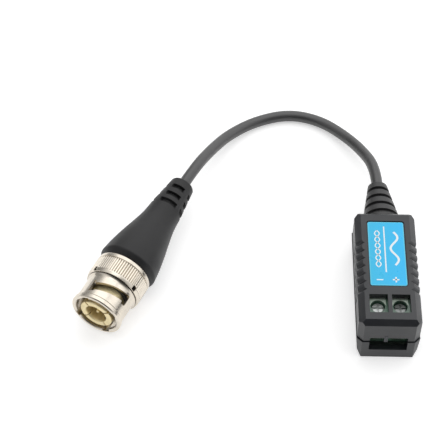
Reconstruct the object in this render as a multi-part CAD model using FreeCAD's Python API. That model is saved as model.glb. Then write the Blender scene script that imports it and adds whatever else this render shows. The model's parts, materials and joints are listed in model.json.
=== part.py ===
"""Passive video balun: a two-pole screw terminal in a clipped housing, a short coaxial lead
and a moulded bayonet plug.

Millimetres, +Z up. The origin is at the middle of the housing's base. The terminals are at the
housing's -Y end and the lead leaves at its +Y end. The plug lies beside it, at -X.
"""
import FreeCAD
import Part

import math
import os

from FreeCAD import Vector

# Housing shells
WALL = 1.3
PARTING_HEIGHT = 6.2
SIDE_CHAMFER = 1.4
END_CHAMFER = 1.15
CORNER_CHAMFER = 1.3
BASE_LEDGE = 0.2
BASE_DRAFT = 0.4
BASE_CHAMFER_WIDTH = 1.0
BASE_CHAMFER_HEIGHT = 2.0
LIP_HEIGHT = 0.9
LIP_THICKNESS = 0.5
LIP_CLEARANCE = 0.1
LIP_CORNER = 0.5
SEAM_HEIGHT = 0.3
SEAM_DEPTH = 0.4
OVERSHOOT = 1.0

# Grips along both shoulders: half-round ribs between narrow grooves
GRIP_COUNT = 7
GRIP_PITCH = 2.2
GRIP_WIDTH = 1.7
GRIP_DEPTH = 0.5
GRIP_HEIGHT = 5.2

# Label in its recess
LABEL_WIDTH = 8.4
LABEL_THICKNESS = 0.2
LABEL_CORNER = 0.5
LABEL_FRONT_MARGIN = 2.5
LABEL_BACK_MARGIN = 3.25
RECESS_DEPTH = 0.3
RECESS_MARGIN = 0.25

# Terminal block, its windows and its wire slot
POLE_PITCH = 5.08
BLOCK_GAP = 0.9
BLOCK_DEPTH = 7.3
BLOCK_SIDE_GAP = 0.72
BLOCK_ROOF_GAP = 1.05
SCREW_SETBACK = 4.0
WINDOW_BRIDGE = 0.91
WINDOW_LENGTH = 4.9
WINDOW_SHIFT = -0.7
SLOT_SIDE_MARGIN = 0.14
SLOT_SILL = 0.06
SLOT_HEIGHT = 4.41
WELL_MARGIN = 0.15
HEAD_SINK = 0.7
SHELF_THICKNESS = 0.4
CAVITY_SIDE_GAP = 0.2
CAVITY_FRONT_GAP = 0.2
CAVITY_FLOOR = 0.25
ENTRY_WIDTH = 3.3
ENTRY_HEIGHT = 3.0
ENTRY_SILL = 0.3

# Clamp screw and rising cage
SCREW_HEAD_RADIUS = 1.45
SCREW_HEAD_HEIGHT = 0.8
SCREW_RADIUS = 1.15
SCREW_CLEARANCE = 0.05
SHANK_CLEARANCE = 0.1
HEAD_CHAMFER = 0.2
SCREW_SLOT_WIDTH = 0.45
SCREW_SLOT_DEPTH = 0.5
CROSS_SLOT_LENGTH = 2.0
CAGE_TRAVEL = 1.6
CAGE_WIDTH = 3.5
CAGE_DEPTH = 4.1
CAGE_SIDE = 0.5
CAGE_FLOOR = 0.5
CAGE_NUT = 1.0
THINNEST_WIRE = 0.55
BAR_THICKNESS = 0.4
BAR_SIDE_GAP = 0.15
PIN_WIDTH = 1.0
PIN_GAP = 0.2
PIN_PROUD = 0.3
RUNNING_GAP = 0.1
CAGE_CLEARANCE = 0.05

# Circuit board and what stands on it
BOARD_THICKNESS = 1.0
BOARD_FLOOR_GAP = 0.1
BOARD_SIDE_GAP = 0.15
BOARD_FRONT_GAP = 0.2
BOARD_BACK_GAP = 0.3
BOARD_POST_RADIUS = 0.9
BOARD_POST_INSET = 1.4
PIN_HOLE_CLEARANCE = 0.15
SEAT_GAP = 0.05
CORE_RADIUS = 4.0
CORE_BORE = 1.8
CORE_HEIGHT = 3.2
CORE_GAP = 3.55
WIRE_SIZE = 0.32
WINDING_GAP = 0.03
TURN_COUNT = 14
ARRESTER_RADIUS = 1.6
ARRESTER_LENGTH = 5.0
ARRESTER_CAP = 0.8
ARRESTER_STEP = 0.15
ARRESTER_GAP = 1.55
CAPACITOR_SIZE = (2.0, 1.25, 0.9)
CAPACITOR_GAP = (1.4, 1.2)
RESISTOR_SIZE = (1.6, 0.8, 0.45)
RESISTOR_GAP = (0.86, 2.3)

# Moulded strain relief of the lead
RELIEF_LENGTH = 13.0
RELIEF_COLLAR_RADIUS = 4.7
RELIEF_COLLAR_LENGTH = 1.8
RELIEF_COLLAR_CHAMFER = 0.45
RELIEF_BASE_RADIUS = 4.6
RELIEF_TIP_RADIUS = 2.35
RELIEF_NECK_RADIUS = 2.6
RELIEF_FLANGE_STEP = 0.8
RELIEF_FLANGE_LENGTH = 1.4
RELIEF_FACE_GAP = 0.1
RELIEF_LEAN = 2.3
GROOVE_FIRST = 2.0
GROOVE_PITCH = 2.7
GROOVE_COUNT = 4
GROOVE_WIDTH = 0.85
GROOVE_DEPTH = 0.7
GROOVE_FLANK = 0.15
TAIL_LEAD_RADIUS = 0.35
TAIL_SCREEN_RADIUS = 0.5
TAIL_BEND = 1.0
TAIL_RUN = 0.6
TAIL_GAP = 0.6
SIGNAL_TAIL_X = 0.7
SCREEN_TAIL_X = -1.1

# Coaxial lead, and its points between the straight runs out of both ends
CABLE_RADIUS = 1.4
STRAIGHT_AT_PLUG = 6.5
STRAIGHT_AT_HOUSING = 6.3
LEAD_POINTS = ((-41.9, 41.3, 4.9), (-37.5, 49.0, 2.3), (-30.4, 54.8, CABLE_RADIUS),
               (-21.7, 57.4, CABLE_RADIUS), (-13.6, 55.2, CABLE_RADIUS), (-7.5, 49.5, 2.1),
               (-3.4, 42.6, 4.2))

# Coupling sleeve: U is counted along the plug's axis from the mouth of the sleeve
PLUG_MOUTH = (-66.72, -10.79)
PLUG_HEADING = 25.5
SLEEVE_BORE = 5.2
SLEEVE_WALL = 0.75
SLEEVE_LENGTH = 7.9
FLANGE_STEP = 0.33
FLANGE_LENGTH = 1.05
FLANGE_EDGE = 0.2
GROOVE_AT_FLANGE = 0.2
GROOVE_SINK = 0.12
RING_STEP = 0.85
RING_SKIRT = 2.35
RING_SHOULDER = 0.9
RING_LIP = 0.75
RING_EDGE = 0.25
MOUTH_CHAMFER = 0.25
TOOTH_COUNT = 60
TOOTH_DEPTH = 0.24
TOOTH_LAND = 0.5
RIB_LENGTH = 1.0
MARK_ANGLES = (35.0, 131.0, 215.0, 311.0)
MARK_SIZE = 0.9

# Bayonet tracks, angles seen from the mouth and counted anticlockwise from the right
TRACK_END = 25.0
TRACK_START = 122.0
TRACK_WIDTH = 2.4
TRACK_CENTRE = 4.27
TRACK_RISE = 0.9
LEG_WIDTH = 2.1
LOCK_LEG_FRONT = 2.0
ENTRY_LEG_FRONT = 2.3
ENTRY_DEPTH = 0.5

# Plug contacts and body
CONTACT_START = 0.1
CONTACT_RADIUS = 4.05
CONTACT_BORE = 2.55
CONTACT_END = 6.8
CONTACT_EDGE = 0.25
CONTACT_MOUTH = 0.4
FINGER_SLOT = 0.35
FINGER_LENGTH = 4.4
FINGER_COUNT = 4
FINGER_ANGLE = 38.0
PIN_RADIUS = 0.675
PIN_START = 0.8
PIN_TIP_RADIUS = 0.25
PIN_TAPER = 1.15
PIN_SHOULDER_STEP = 0.375
PIN_SHOULDER_LENGTH = 4.6
PIN_BORE_DEPTH = 2.0
INSULATOR_START = 5.2
INSULATOR_STEP = 0.2
BODY_FLANGE_GAP = 0.35
BODY_FLANGE_STEP = 0.65
BODY_FLANGE_LENGTH = 0.8
BODY_REST = 0.3
BODY_BACK_WALL = 0.7
STEM_RADIUS = 2.2
STEM_LENGTH = 6.3
STEM_SLACK = 0.5
GASKET_LENGTH = 0.7
GASKET_GROOVE = 0.65
WASHER_THICKNESS = 0.25
WASHER_WAVE = 0.75
WASHER_WAVES = 3
RING_PLAY = 0.5
CLIP_STEP = 0.7
CLIP_ROOM = 0.7
CLIP_THICKNESS = 0.6
CLIP_GROOVE = 0.35
CLIP_MOUTH = 70.0
BRAID_THICKNESS = 0.35
BRAID_PROUD = 0.5
FERRULE_WALL = 0.4
FERRULE_LENGTH = 9.0
COAX_CORE_RADIUS = 0.95
COAX_WIRE_RADIUS = 0.3
COAX_CORE_LENGTH = 12.3
COAX_CORE_GAP = 0.2
FIT_GAP = 0.05

# Moulded boot of the plug: radius and distance from its front face
BOOT_FRONT_RADIUS = 6.3
BOOT_RIM_STEP = 0.4
BOOT_RIM_AT = 1.3
BOOT_FLANK = ((6.8, 4.5), (6.1, 8.3), (5.2, 12.3), (4.4, 16.3))
BOOT_NECK = (4.15, 18.7)
BOOT_TAIL = (4.06, 20.3)
BOOT_END_RADIUS = 2.95
BOOT_LENGTH = 29.2
BOOT_END_ROUND = 0.8
BOOT_SLOT_FIRST = 20.9
BOOT_SLOT_PITCH = 2.5
BOOT_SLOT_COUNT = 3
BOOT_SLOT_ANGLES = (-15.0, 75.0, 165.0, 255.0)
BOOT_SLOT_WIDTH = 1.1
BOOT_SLOT_LENGTH = 3.4
BOOT_SLOT_DEPTH = 0.9

# Heights inside the housing, from its floor up to its roof
BASE_WALL = WALL + BASE_LEDGE
BOARD_BOTTOM = BASE_WALL + BOARD_FLOOR_GAP + PIN_PROUD
BOARD_TOP = BOARD_BOTTOM + BOARD_THICKNESS
CAGE_BOTTOM = BOARD_TOP + CAVITY_FLOOR + RUNNING_GAP
BAR_BOTTOM = CAGE_BOTTOM + CAGE_FLOOR + CAGE_TRAVEL + THINNEST_WIRE
BAR_TOP = BAR_BOTTOM + BAR_THICKNESS
CAGE_TOP = BAR_TOP + CAGE_CLEARANCE + CAGE_NUT
CAVITY_TOP = CAGE_TOP + CAGE_TRAVEL + RUNNING_GAP
HEAD_BOTTOM = CAVITY_TOP + SHELF_THICKNESS
HEAD_TOP = HEAD_BOTTOM + SCREW_HEAD_HEIGHT
BLOCK_TOP = HEAD_TOP + HEAD_SINK
HOUSING_HEIGHT = BLOCK_TOP + BLOCK_ROOF_GAP + WALL
LEAD_HEIGHT = PARTING_HEIGHT
SLOT_BOTTOM = BOARD_TOP + SLOT_SILL

# Widths of the housing and of what it holds
HALF_WIDTH = POLE_PITCH + BLOCK_SIDE_GAP + WALL
INNER_SIDE = HALF_WIDTH - WALL
WINDOW_WIDTH = POLE_PITCH - WINDOW_BRIDGE
SLOT_WIDTH = POLE_PITCH + ENTRY_WIDTH + 2 * SLOT_SIDE_MARGIN
WELL_RADIUS = SCREW_HEAD_RADIUS + WELL_MARGIN
CAVITY_WIDTH = CAGE_WIDTH + 2 * CAVITY_SIDE_GAP
BAR_WIDTH = CAGE_WIDTH - 2 * (CAGE_SIDE + BAR_SIDE_GAP)
CAPACITOR_X = ARRESTER_LENGTH / 2 + CAPACITOR_GAP[0]
RESISTOR_X = POLE_PITCH / 2 + RESISTOR_GAP[0]

# Lengths inside the housing: block, transformer, arrester, tails and the relief's flange in a row
WRAP = WIRE_SIZE + WINDING_GAP
TAILS = TAIL_SCREEN_RADIUS + TAIL_BEND + TAIL_RUN
INNER_LENGTH = (BLOCK_GAP + BLOCK_DEPTH + CORE_GAP + 2 * (CORE_RADIUS + WRAP) + ARRESTER_GAP
                + 2 * ARRESTER_RADIUS + TAIL_GAP + TAILS + RELIEF_FLANGE_LENGTH + RELIEF_FACE_GAP)
INNER_END = INNER_LENGTH / 2
HALF_LENGTH = INNER_END + WALL
BASE_HALF_LENGTH = HALF_LENGTH + BASE_LEDGE
BLOCK_FRONT = -INNER_END + BLOCK_GAP
BLOCK_BACK = BLOCK_FRONT + BLOCK_DEPTH
SCREW_Y = BLOCK_FRONT + SCREW_SETBACK
CAGE_FRONT = SCREW_Y - CAGE_DEPTH / 2
CAGE_BACK = SCREW_Y + CAGE_DEPTH / 2
PIN_LEG_Y = CAGE_BACK + PIN_GAP
WINDOW_CENTRE_Y = SCREW_Y + WINDOW_SHIFT
LABEL_FRONT = WINDOW_CENTRE_Y + WINDOW_LENGTH / 2 + LABEL_FRONT_MARGIN
LABEL_BACK = HALF_LENGTH - LABEL_BACK_MARGIN
CORE_Y = BLOCK_BACK + CORE_GAP + CORE_RADIUS + WRAP
ARRESTER_Y = CORE_Y + CORE_RADIUS + WRAP + ARRESTER_GAP + ARRESTER_RADIUS
CAPACITOR_Y = CORE_Y + CORE_RADIUS + CAPACITOR_GAP[1]
RESISTOR_Y = BLOCK_BACK + RESISTOR_GAP[1]
FLANGE_FRONT = INNER_END - RELIEF_FACE_GAP - RELIEF_FLANGE_LENGTH
BOARD_FRONT = -INNER_END + BOARD_FRONT_GAP
BOARD_BACK = FLANGE_FRONT - BOARD_BACK_GAP

# Radii of the plug, from the sleeve's bore and the contacts outwards
SLEEVE_RADIUS = SLEEVE_BORE + SLEEVE_WALL
FLANGE_RADIUS = SLEEVE_RADIUS + FLANGE_STEP
RING_RADIUS = SLEEVE_RADIUS + RING_STEP
BODY_FLANGE_RADIUS = SLEEVE_BORE - BODY_FLANGE_GAP
BODY_TUBE_RADIUS = BODY_FLANGE_RADIUS - BODY_FLANGE_STEP
CLIP_RADIUS = BODY_TUBE_RADIUS + CLIP_STEP
RING_BORE = CLIP_RADIUS + CLIP_ROOM
GASKET_SEAT = CONTACT_RADIUS - GASKET_GROOVE
INSULATOR_RADIUS = CONTACT_BORE - INSULATOR_STEP
PIN_SHOULDER = PIN_RADIUS + PIN_SHOULDER_STEP
STEM_BORE = COAX_CORE_RADIUS + STEM_SLACK
BOOT_RIM_RADIUS = RING_RADIUS + BOOT_RIM_STEP
PLUG_HEIGHT = BOOT_RIM_RADIUS

# Stations along the plug, from the contacts backwards
WASHER_START = CONTACT_END + BODY_FLANGE_LENGTH
THRUST_START = WASHER_START + WASHER_WAVE + WASHER_THICKNESS + RING_PLAY + FIT_GAP
RIB_START = THRUST_START + WASHER_THICKNESS
CLIP_START = RIB_START + RIB_LENGTH + FIT_GAP
RING_END = CLIP_START + CLIP_THICKNESS + RING_SKIRT
BODY_END = RING_END + BODY_REST
INSULATOR_END = BODY_END - BODY_BACK_WALL
PIN_END = INSULATOR_START + PIN_SHOULDER_LENGTH
STEM_END = BODY_END + STEM_LENGTH
COAX_CORE_END = BODY_END + COAX_CORE_LENGTH
BOOT_END = BODY_END + BOOT_LENGTH



def box(x0, x1, y0, y1, z0, z1):
    """A block between two corners."""
    return Part.makeBox(x1 - x0, y1 - y0, z1 - z0, Vector(x0, y0, z0))


def rod(radius, start, length, axis):
    """A cylinder along axis from the point start."""
    return Part.makeCylinder(radius, length, start, axis)


def mirrored_section(half):
    """A closed outline in X and Z from its right half, listed from bottom to top."""
    return half + [(-x, z) for x, z in reversed(half)]


def prism_along_y(outline, y0, y1):
    """The outline in X and Z carried from y0 to y1."""
    points = [Vector(x, y0, z) for x, z in outline]
    face = Part.Face(Part.makePolygon(points + points[:1]))
    return face.extrude(Vector(0, y1 - y0, 0))


def prism_along_x(outline, x0, x1):
    """The outline in Y and Z carried from x0 to x1."""
    points = [Vector(x0, y, z) for y, z in outline]
    face = Part.Face(Part.makePolygon(points + points[:1]))
    return face.extrude(Vector(x1 - x0, 0, 0))


def chamfered_block(half_x, half_y, cut, z0, z1):
    """A block about the Z axis with its four upright edges cut off at 45 degrees."""
    corners = [(half_x, cut - half_y), (half_x, half_y - cut), (half_x - cut, half_y),
               (cut - half_x, half_y)]
    points = [Vector(x, y, z0) for x, y in corners + [(-x, -y) for x, y in corners]]
    return Part.Face(Part.makePolygon(points + points[:1])).extrude(Vector(0, 0, z1 - z0))


def turned(profile):
    """A solid of revolution about Z from (radius, height) points joined by straight lines."""
    points = [Vector(r, 0, u) for r, u in profile]
    face = Part.Face(Part.makePolygon(points + points[:1]))
    return face.revolve(Vector(0, 0, 0), Vector(0, 0, 1), 360)


def tube(outer, inner, u0, u1):
    """A plain ring about Z."""
    return turned([(inner, u0), (outer, u0), (outer, u1), (inner, u1)])


# Housing shells

def housing_outline(inset):
    """The upper shell's section, inset by a wall, open downwards past the parting plane."""
    flat = HALF_WIDTH - SIDE_CHAMFER - inset * (math.sqrt(2) - 1)
    side = HALF_WIDTH - inset
    top = HOUSING_HEIGHT - inset
    shoulder = top - (side - flat)
    return mirrored_section([(side, PARTING_HEIGHT), (side, shoulder), (flat, top)])


def base_outline(inset):
    """The lower shell's section, inset by a wall."""
    rim = HALF_WIDTH + BASE_LEDGE - inset
    knee = rim - BASE_DRAFT
    foot = knee - BASE_CHAMFER_WIDTH
    knee_height = max(BASE_CHAMFER_HEIGHT, inset + RUNNING_GAP)
    return mirrored_section([(foot, inset), (knee, knee_height), (rim, PARTING_HEIGHT)])


def base_half_width(height):
    """The lower shell's inner half width at a height above the surface."""
    outline = base_outline(BASE_WALL)
    (foot, floor), (knee, knee_height), (rim, top) = outline[:3]
    if height < knee_height:
        return foot + (knee - foot) * (height - floor) / (knee_height - floor)
    return knee + (rim - knee) * (height - knee_height) / (top - knee_height)


def board_half_width():
    """Half the board's width, clear of the lower shell at the board's underside."""
    return base_half_width(BOARD_BOTTOM) - BOARD_SIDE_GAP


def lip_ring(clearance):
    """The joint's tongue, or its rebate when it is given a clearance."""
    side = INNER_SIDE + LIP_THICKNESS + clearance
    end = INNER_END + LIP_THICKNESS + clearance
    top = PARTING_HEIGHT + LIP_HEIGHT + clearance
    outer = chamfered_block(side, end, LIP_CORNER, PARTING_HEIGHT, top)
    inner = box(-INNER_SIDE, INNER_SIDE, -INNER_END, INNER_END, PARTING_HEIGHT - OVERSHOOT,
                top + OVERSHOOT)
    return outer.cut(inner)


def base_block(inset, bottom, top):
    """The lower shell's plan outline, inset by a depth, between two heights."""
    return chamfered_block(HALF_WIDTH + BASE_LEDGE - inset, BASE_HALF_LENGTH - inset,
                           CORNER_CHAMFER, bottom, top)


def wire_slot():
    """The opening for both wires in the terminal end's wall."""
    half = SLOT_WIDTH / 2
    return box(-half, half, -BASE_HALF_LENGTH - OVERSHOOT, -INNER_END + OVERSHOOT,
               SLOT_BOTTOM, SLOT_BOTTOM + SLOT_HEIGHT)


def lead_hole():
    """The hole for the strain relief's neck."""
    start = Vector(0, INNER_END - OVERSHOOT, LEAD_HEIGHT)
    return rod(RELIEF_NECK_RADIUS + FIT_GAP, start, BASE_WALL + 2 * OVERSHOOT, Vector(0, 1, 0))


def end_chamfers():
    """Wedges off the top edge of both ends."""
    wedges = []
    for side in (-1, 1):
        end = side * HALF_LENGTH
        inner = side * (HALF_LENGTH - END_CHAMFER)
        outer = side * (HALF_LENGTH + OVERSHOOT)
        outline = [(inner, HOUSING_HEIGHT), (end, HOUSING_HEIGHT - END_CHAMFER),
                   (outer, HOUSING_HEIGHT - END_CHAMFER), (outer, HOUSING_HEIGHT + OVERSHOOT),
                   (inner, HOUSING_HEIGHT + OVERSHOOT)]
        wedges.append(prism_along_x(outline, -HALF_WIDTH - OVERSHOOT, HALF_WIDTH + OVERSHOOT))
    return wedges


def grip_groove(origin, across, inward, reach):
    """A groove between two half-round ribs, carried along reach from its place on the surface."""
    half = GRIP_WIDTH / 2
    rib = (half ** 2 + GRIP_DEPTH ** 2) / (2 * GRIP_DEPTH)
    turn = math.asin(half / rib) / 2

    flank = half - rib * math.sin(turn)
    rise = rib * (1 - math.cos(turn))

    def place(side, deep):
        return origin + across * side + inward * deep

    bottom = place(0, GRIP_DEPTH)
    outside = [place(half, 0), place(half, -OVERSHOOT), place(-half, -OVERSHOOT), place(-half, 0)]
    edges = [Part.Arc(bottom, place(flank, rise), outside[0]).toShape()]
    edges += [Part.LineSegment(a, b).toShape() for a, b in zip(outside, outside[1:])]
    edges.append(Part.Arc(outside[-1], place(-flank, rise), bottom).toShape())
    return Part.Face(Part.Wire(edges)).extrude(reach)


def grip_grooves():
    """Grooves up both sides and over both shoulders, evenly pitched, with round ribs between them."""
    cutters = []
    first = -GRIP_PITCH * (GRIP_COUNT - 1) / 2
    shoulder = HOUSING_HEIGHT - SIDE_CHAMFER
    across = Vector(0, 1, 0)
    for side in (-1, 1):
        wall = Vector(-side, 0, 0)
        slope = Vector(-side, 0, 1) * math.sqrt(0.5)
        below = Vector(-side, 0, -1) * math.sqrt(0.5)
        for index in range(GRIP_COUNT):
            y = first + index * GRIP_PITCH
            foot = Vector(side * HALF_WIDTH, y, HOUSING_HEIGHT - GRIP_HEIGHT)
            edge = Vector(side * HALF_WIDTH, y, shoulder)
            rise = Vector(0, 0, GRIP_HEIGHT - SIDE_CHAMFER + GRIP_DEPTH / 2)
            cutters.append(grip_groove(foot, across, wall, rise))
            cutters.append(grip_groove(edge - slope * GRIP_DEPTH, across, below,
                                       slope * (SIDE_CHAMFER * math.sqrt(2) + GRIP_DEPTH + OVERSHOOT)))
    return cutters


def label_plate(margin, bottom, top):
    """The label's rounded rectangle, grown by a margin."""
    half = LABEL_WIDTH / 2 + margin
    plate = box(-half, half, LABEL_FRONT - margin, LABEL_BACK + margin, bottom, top)
    upright = [edge for edge in plate.Edges
               if abs(edge.Vertexes[0].X - edge.Vertexes[-1].X) < 1e-6
               and abs(edge.Vertexes[0].Y - edge.Vertexes[-1].Y) < 1e-6]
    return plate.makeFillet(LABEL_CORNER + margin, upright)


def screw_windows():
    """The two windows over the clamp screws."""
    half_x = WINDOW_WIDTH / 2
    half_y = WINDOW_LENGTH / 2
    return [box(x - half_x, x + half_x, WINDOW_CENTRE_Y - half_y, WINDOW_CENTRE_Y + half_y,
                BLOCK_TOP, HOUSING_HEIGHT + OVERSHOOT) for x in pole_places()]


def pole_places():
    """X of the minus pole and of the plus pole."""
    return (-POLE_PITCH / 2, POLE_PITCH / 2)


def make_housing_top():
    """The upper shell with its windows, label recess and grips."""
    plan = chamfered_block(HALF_WIDTH, HALF_LENGTH, CORNER_CHAMFER, PARTING_HEIGHT, HOUSING_HEIGHT)
    outer = prism_along_y(housing_outline(0), -HALF_LENGTH, HALF_LENGTH).common(plan)
    inner = prism_along_y(housing_outline(WALL), -INNER_END, INNER_END)
    shell = outer.cut(inner).cut(lip_ring(LIP_CLEARANCE))
    recess = label_plate(RECESS_MARGIN, HOUSING_HEIGHT - RECESS_DEPTH, HOUSING_HEIGHT + OVERSHOOT)
    cutters = end_chamfers() + grip_grooves() + screw_windows()
    return shell.cut(cutters + [recess, wire_slot(), lead_hole()])


def make_housing_bottom():
    """The lower shell with its tongue and the posts under the board."""
    outer = prism_along_y(base_outline(0), -BASE_HALF_LENGTH, BASE_HALF_LENGTH)
    outer = outer.common(base_block(0, 0, PARTING_HEIGHT))
    seam_bottom = PARTING_HEIGHT - SEAM_HEIGHT
    seam = base_block(-OVERSHOOT, seam_bottom, PARTING_HEIGHT)
    seam = seam.cut(base_block(SEAM_DEPTH, seam_bottom, PARTING_HEIGHT))
    inner = prism_along_y(base_outline(BASE_WALL), -INNER_END, INNER_END)
    tongue = lip_ring(0)
    reach = board_half_width() - BOARD_POST_INSET
    foot = BASE_WALL / 2
    posts = [rod(BOARD_POST_RADIUS, Vector(x, y, foot), BOARD_BOTTOM - foot, Vector(0, 0, 1))
             for x in (-reach, reach)
             for y in (BOARD_FRONT + BOARD_POST_INSET, BOARD_BACK - BOARD_POST_INSET)]
    shell = outer.cut([inner, seam]).fuse([tongue] + posts)
    return shell.cut([wire_slot(), lead_hole()]).removeSplitter()


def make_label():
    """The printed label, flat in its recess."""
    bottom = HOUSING_HEIGHT - RECESS_DEPTH
    return label_plate(0, bottom, bottom + LABEL_THICKNESS)


# Terminal block

def make_terminal_block():
    """The green block with a screw well, a cage cavity and a wire entry for each pole."""
    half = POLE_PITCH
    block = box(-half, half, BLOCK_FRONT, BLOCK_BACK, BOARD_TOP, BLOCK_TOP)
    cuts = []
    for x in pole_places():
        cavity = CAVITY_WIDTH / 2
        entry = ENTRY_WIDTH / 2
        floor = BOARD_TOP + CAVITY_FLOOR
        leg = PIN_WIDTH / 2 + RUNNING_GAP
        cuts.append(box(x - cavity, x + cavity, CAGE_FRONT - CAVITY_FRONT_GAP,
                        CAGE_BACK + RUNNING_GAP, floor, CAVITY_TOP))
        cuts.append(box(x - entry, x + entry, BLOCK_FRONT - OVERSHOOT, SCREW_Y,
                        floor + ENTRY_SILL, floor + ENTRY_SILL + ENTRY_HEIGHT))
        bar = BAR_WIDTH / 2 + RUNNING_GAP
        back = PIN_LEG_Y + BAR_THICKNESS + RUNNING_GAP
        cuts.append(box(x - leg, x + leg, CAGE_BACK, back, BOARD_TOP - OVERSHOOT, BAR_TOP + RUNNING_GAP))
        cuts.append(box(x - bar, x + bar, CAGE_BACK, back, BAR_BOTTOM - RUNNING_GAP, BAR_TOP + RUNNING_GAP))
        cuts.append(rod(WELL_RADIUS, Vector(x, SCREW_Y, HEAD_BOTTOM), BLOCK_TOP, Vector(0, 0, 1)))
        cuts.append(rod(SCREW_RADIUS + SHANK_CLEARANCE, Vector(x, SCREW_Y, CAVITY_TOP - OVERSHOOT),
                        SHELF_THICKNESS + 2 * OVERSHOOT, Vector(0, 0, 1)))
    return block.cut(cuts)


def make_contact(x):
    """The fixed bar that the wire is pressed on, with its leg through the board."""
    half = BAR_WIDTH / 2
    back = PIN_LEG_Y + BAR_THICKNESS
    bar = box(x - half, x + half, CAGE_FRONT - RUNNING_GAP, back, BAR_BOTTOM, BAR_TOP)
    leg = box(x - PIN_WIDTH / 2, x + PIN_WIDTH / 2, PIN_LEG_Y, back, BOARD_BOTTOM - PIN_PROUD, BAR_TOP)
    return bar.fuse(leg).removeSplitter()


def make_cage(x):
    """The rising cage: a square frame round the bar, threaded at its top."""
    half = CAGE_WIDTH / 2
    inner = half - CAGE_SIDE
    frame = box(x - half, x + half, CAGE_FRONT, CAGE_BACK, CAGE_BOTTOM, CAGE_TOP)
    gap = box(x - inner, x + inner, CAGE_FRONT - OVERSHOOT, CAGE_BACK + OVERSHOOT,
              CAGE_BOTTOM + CAGE_FLOOR, CAGE_TOP - CAGE_NUT)
    hole = rod(SCREW_RADIUS + SCREW_CLEARANCE, Vector(x, SCREW_Y, CAGE_TOP - CAGE_NUT - OVERSHOOT),
               CAGE_NUT + 2 * OVERSHOOT, Vector(0, 0, 1))
    return frame.cut([gap, hole])


def make_screw(x):
    """The clamp screw, slotted, held by the shelf under its head."""
    profile = [(0, BAR_TOP + RUNNING_GAP), (SCREW_RADIUS, BAR_TOP + RUNNING_GAP),
               (SCREW_RADIUS, HEAD_BOTTOM), (SCREW_HEAD_RADIUS, HEAD_BOTTOM),
               (SCREW_HEAD_RADIUS, HEAD_TOP - HEAD_CHAMFER),
               (SCREW_HEAD_RADIUS - HEAD_CHAMFER, HEAD_TOP), (0, HEAD_TOP)]
    screw = turned(profile)
    half = SCREW_SLOT_WIDTH / 2
    floor = HEAD_TOP - SCREW_SLOT_DEPTH
    slot = box(-SCREW_HEAD_RADIUS, SCREW_HEAD_RADIUS, -half, half, floor, HEAD_TOP + OVERSHOOT)
    cross = box(-half, half, -CROSS_SLOT_LENGTH / 2, CROSS_SLOT_LENGTH / 2, floor, HEAD_TOP + OVERSHOOT)
    screw = screw.cut([slot, cross])
    screw.translate(Vector(x, SCREW_Y, 0))
    return screw


# Circuit board

def make_board():
    """The board with a hole for each terminal leg."""
    half = board_half_width()
    board = box(-half, half, BOARD_FRONT, BOARD_BACK, BOARD_BOTTOM, BOARD_TOP)
    radius = math.hypot(PIN_WIDTH / 2, BAR_THICKNESS / 2) + PIN_HOLE_CLEARANCE
    holes = [rod(radius, Vector(x, PIN_LEG_Y + BAR_THICKNESS / 2, BOARD_BOTTOM - OVERSHOOT),
                 BOARD_THICKNESS + 2 * OVERSHOOT, Vector(0, 0, 1)) for x in pole_places()]
    return board.cut(holes)


def make_core():
    """The ferrite ring of the transformer, lying on the board under its winding."""
    bottom = BOARD_TOP + SEAT_GAP + WRAP
    ring = tube(CORE_RADIUS, CORE_BORE, bottom, bottom + CORE_HEIGHT)
    ring.translate(Vector(0, CORE_Y, 0))
    return ring


def make_winding():
    """The turns round the ring: one closed loop of wire for each turn, evenly spread."""
    bottom = BOARD_TOP + SEAT_GAP
    top = bottom + CORE_HEIGHT + 2 * WRAP
    inner = CORE_BORE - WRAP
    outer = CORE_RADIUS + WRAP
    half = WIRE_SIZE / 2
    turns = []
    for index in range(TURN_COUNT):
        loop = box(inner, outer, -half, half, bottom, top)
        hollow = box(inner + WIRE_SIZE, outer - WIRE_SIZE, -WIRE_SIZE, WIRE_SIZE,
                     bottom + WIRE_SIZE, top - WIRE_SIZE)
        turn = loop.cut(hollow)
        turn.rotate(Vector(0, 0, 0), Vector(0, 0, 1), 360.0 * index / TURN_COUNT)
        turn.translate(Vector(0, CORE_Y, 0))
        turns.append(turn)
    return Part.makeCompound(turns)


def make_arrester():
    """The surge arrester: a ceramic drum between two end caps, across the board."""
    half = ARRESTER_LENGTH / 2
    cap = half - ARRESTER_CAP
    waist = ARRESTER_RADIUS - ARRESTER_STEP
    profile = [(0, -half), (ARRESTER_RADIUS, -half), (ARRESTER_RADIUS, -cap), (waist, -cap),
               (waist, cap), (ARRESTER_RADIUS, cap), (ARRESTER_RADIUS, half), (0, half)]
    drum = turned(profile)
    drum.rotate(Vector(0, 0, 0), Vector(0, 1, 0), 90)
    drum.translate(Vector(0, ARRESTER_Y, BOARD_TOP + SEAT_GAP + ARRESTER_RADIUS))
    return drum


def make_chips(size, x, y):
    """A pair of chip parts, one each side of the board's middle."""
    length, width, height = size
    return Part.makeCompound([
        box(side * x - width / 2, side * x + width / 2, y - length / 2, y + length / 2,
            BOARD_TOP, BOARD_TOP + height) for side in (-1, 1)])


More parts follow.
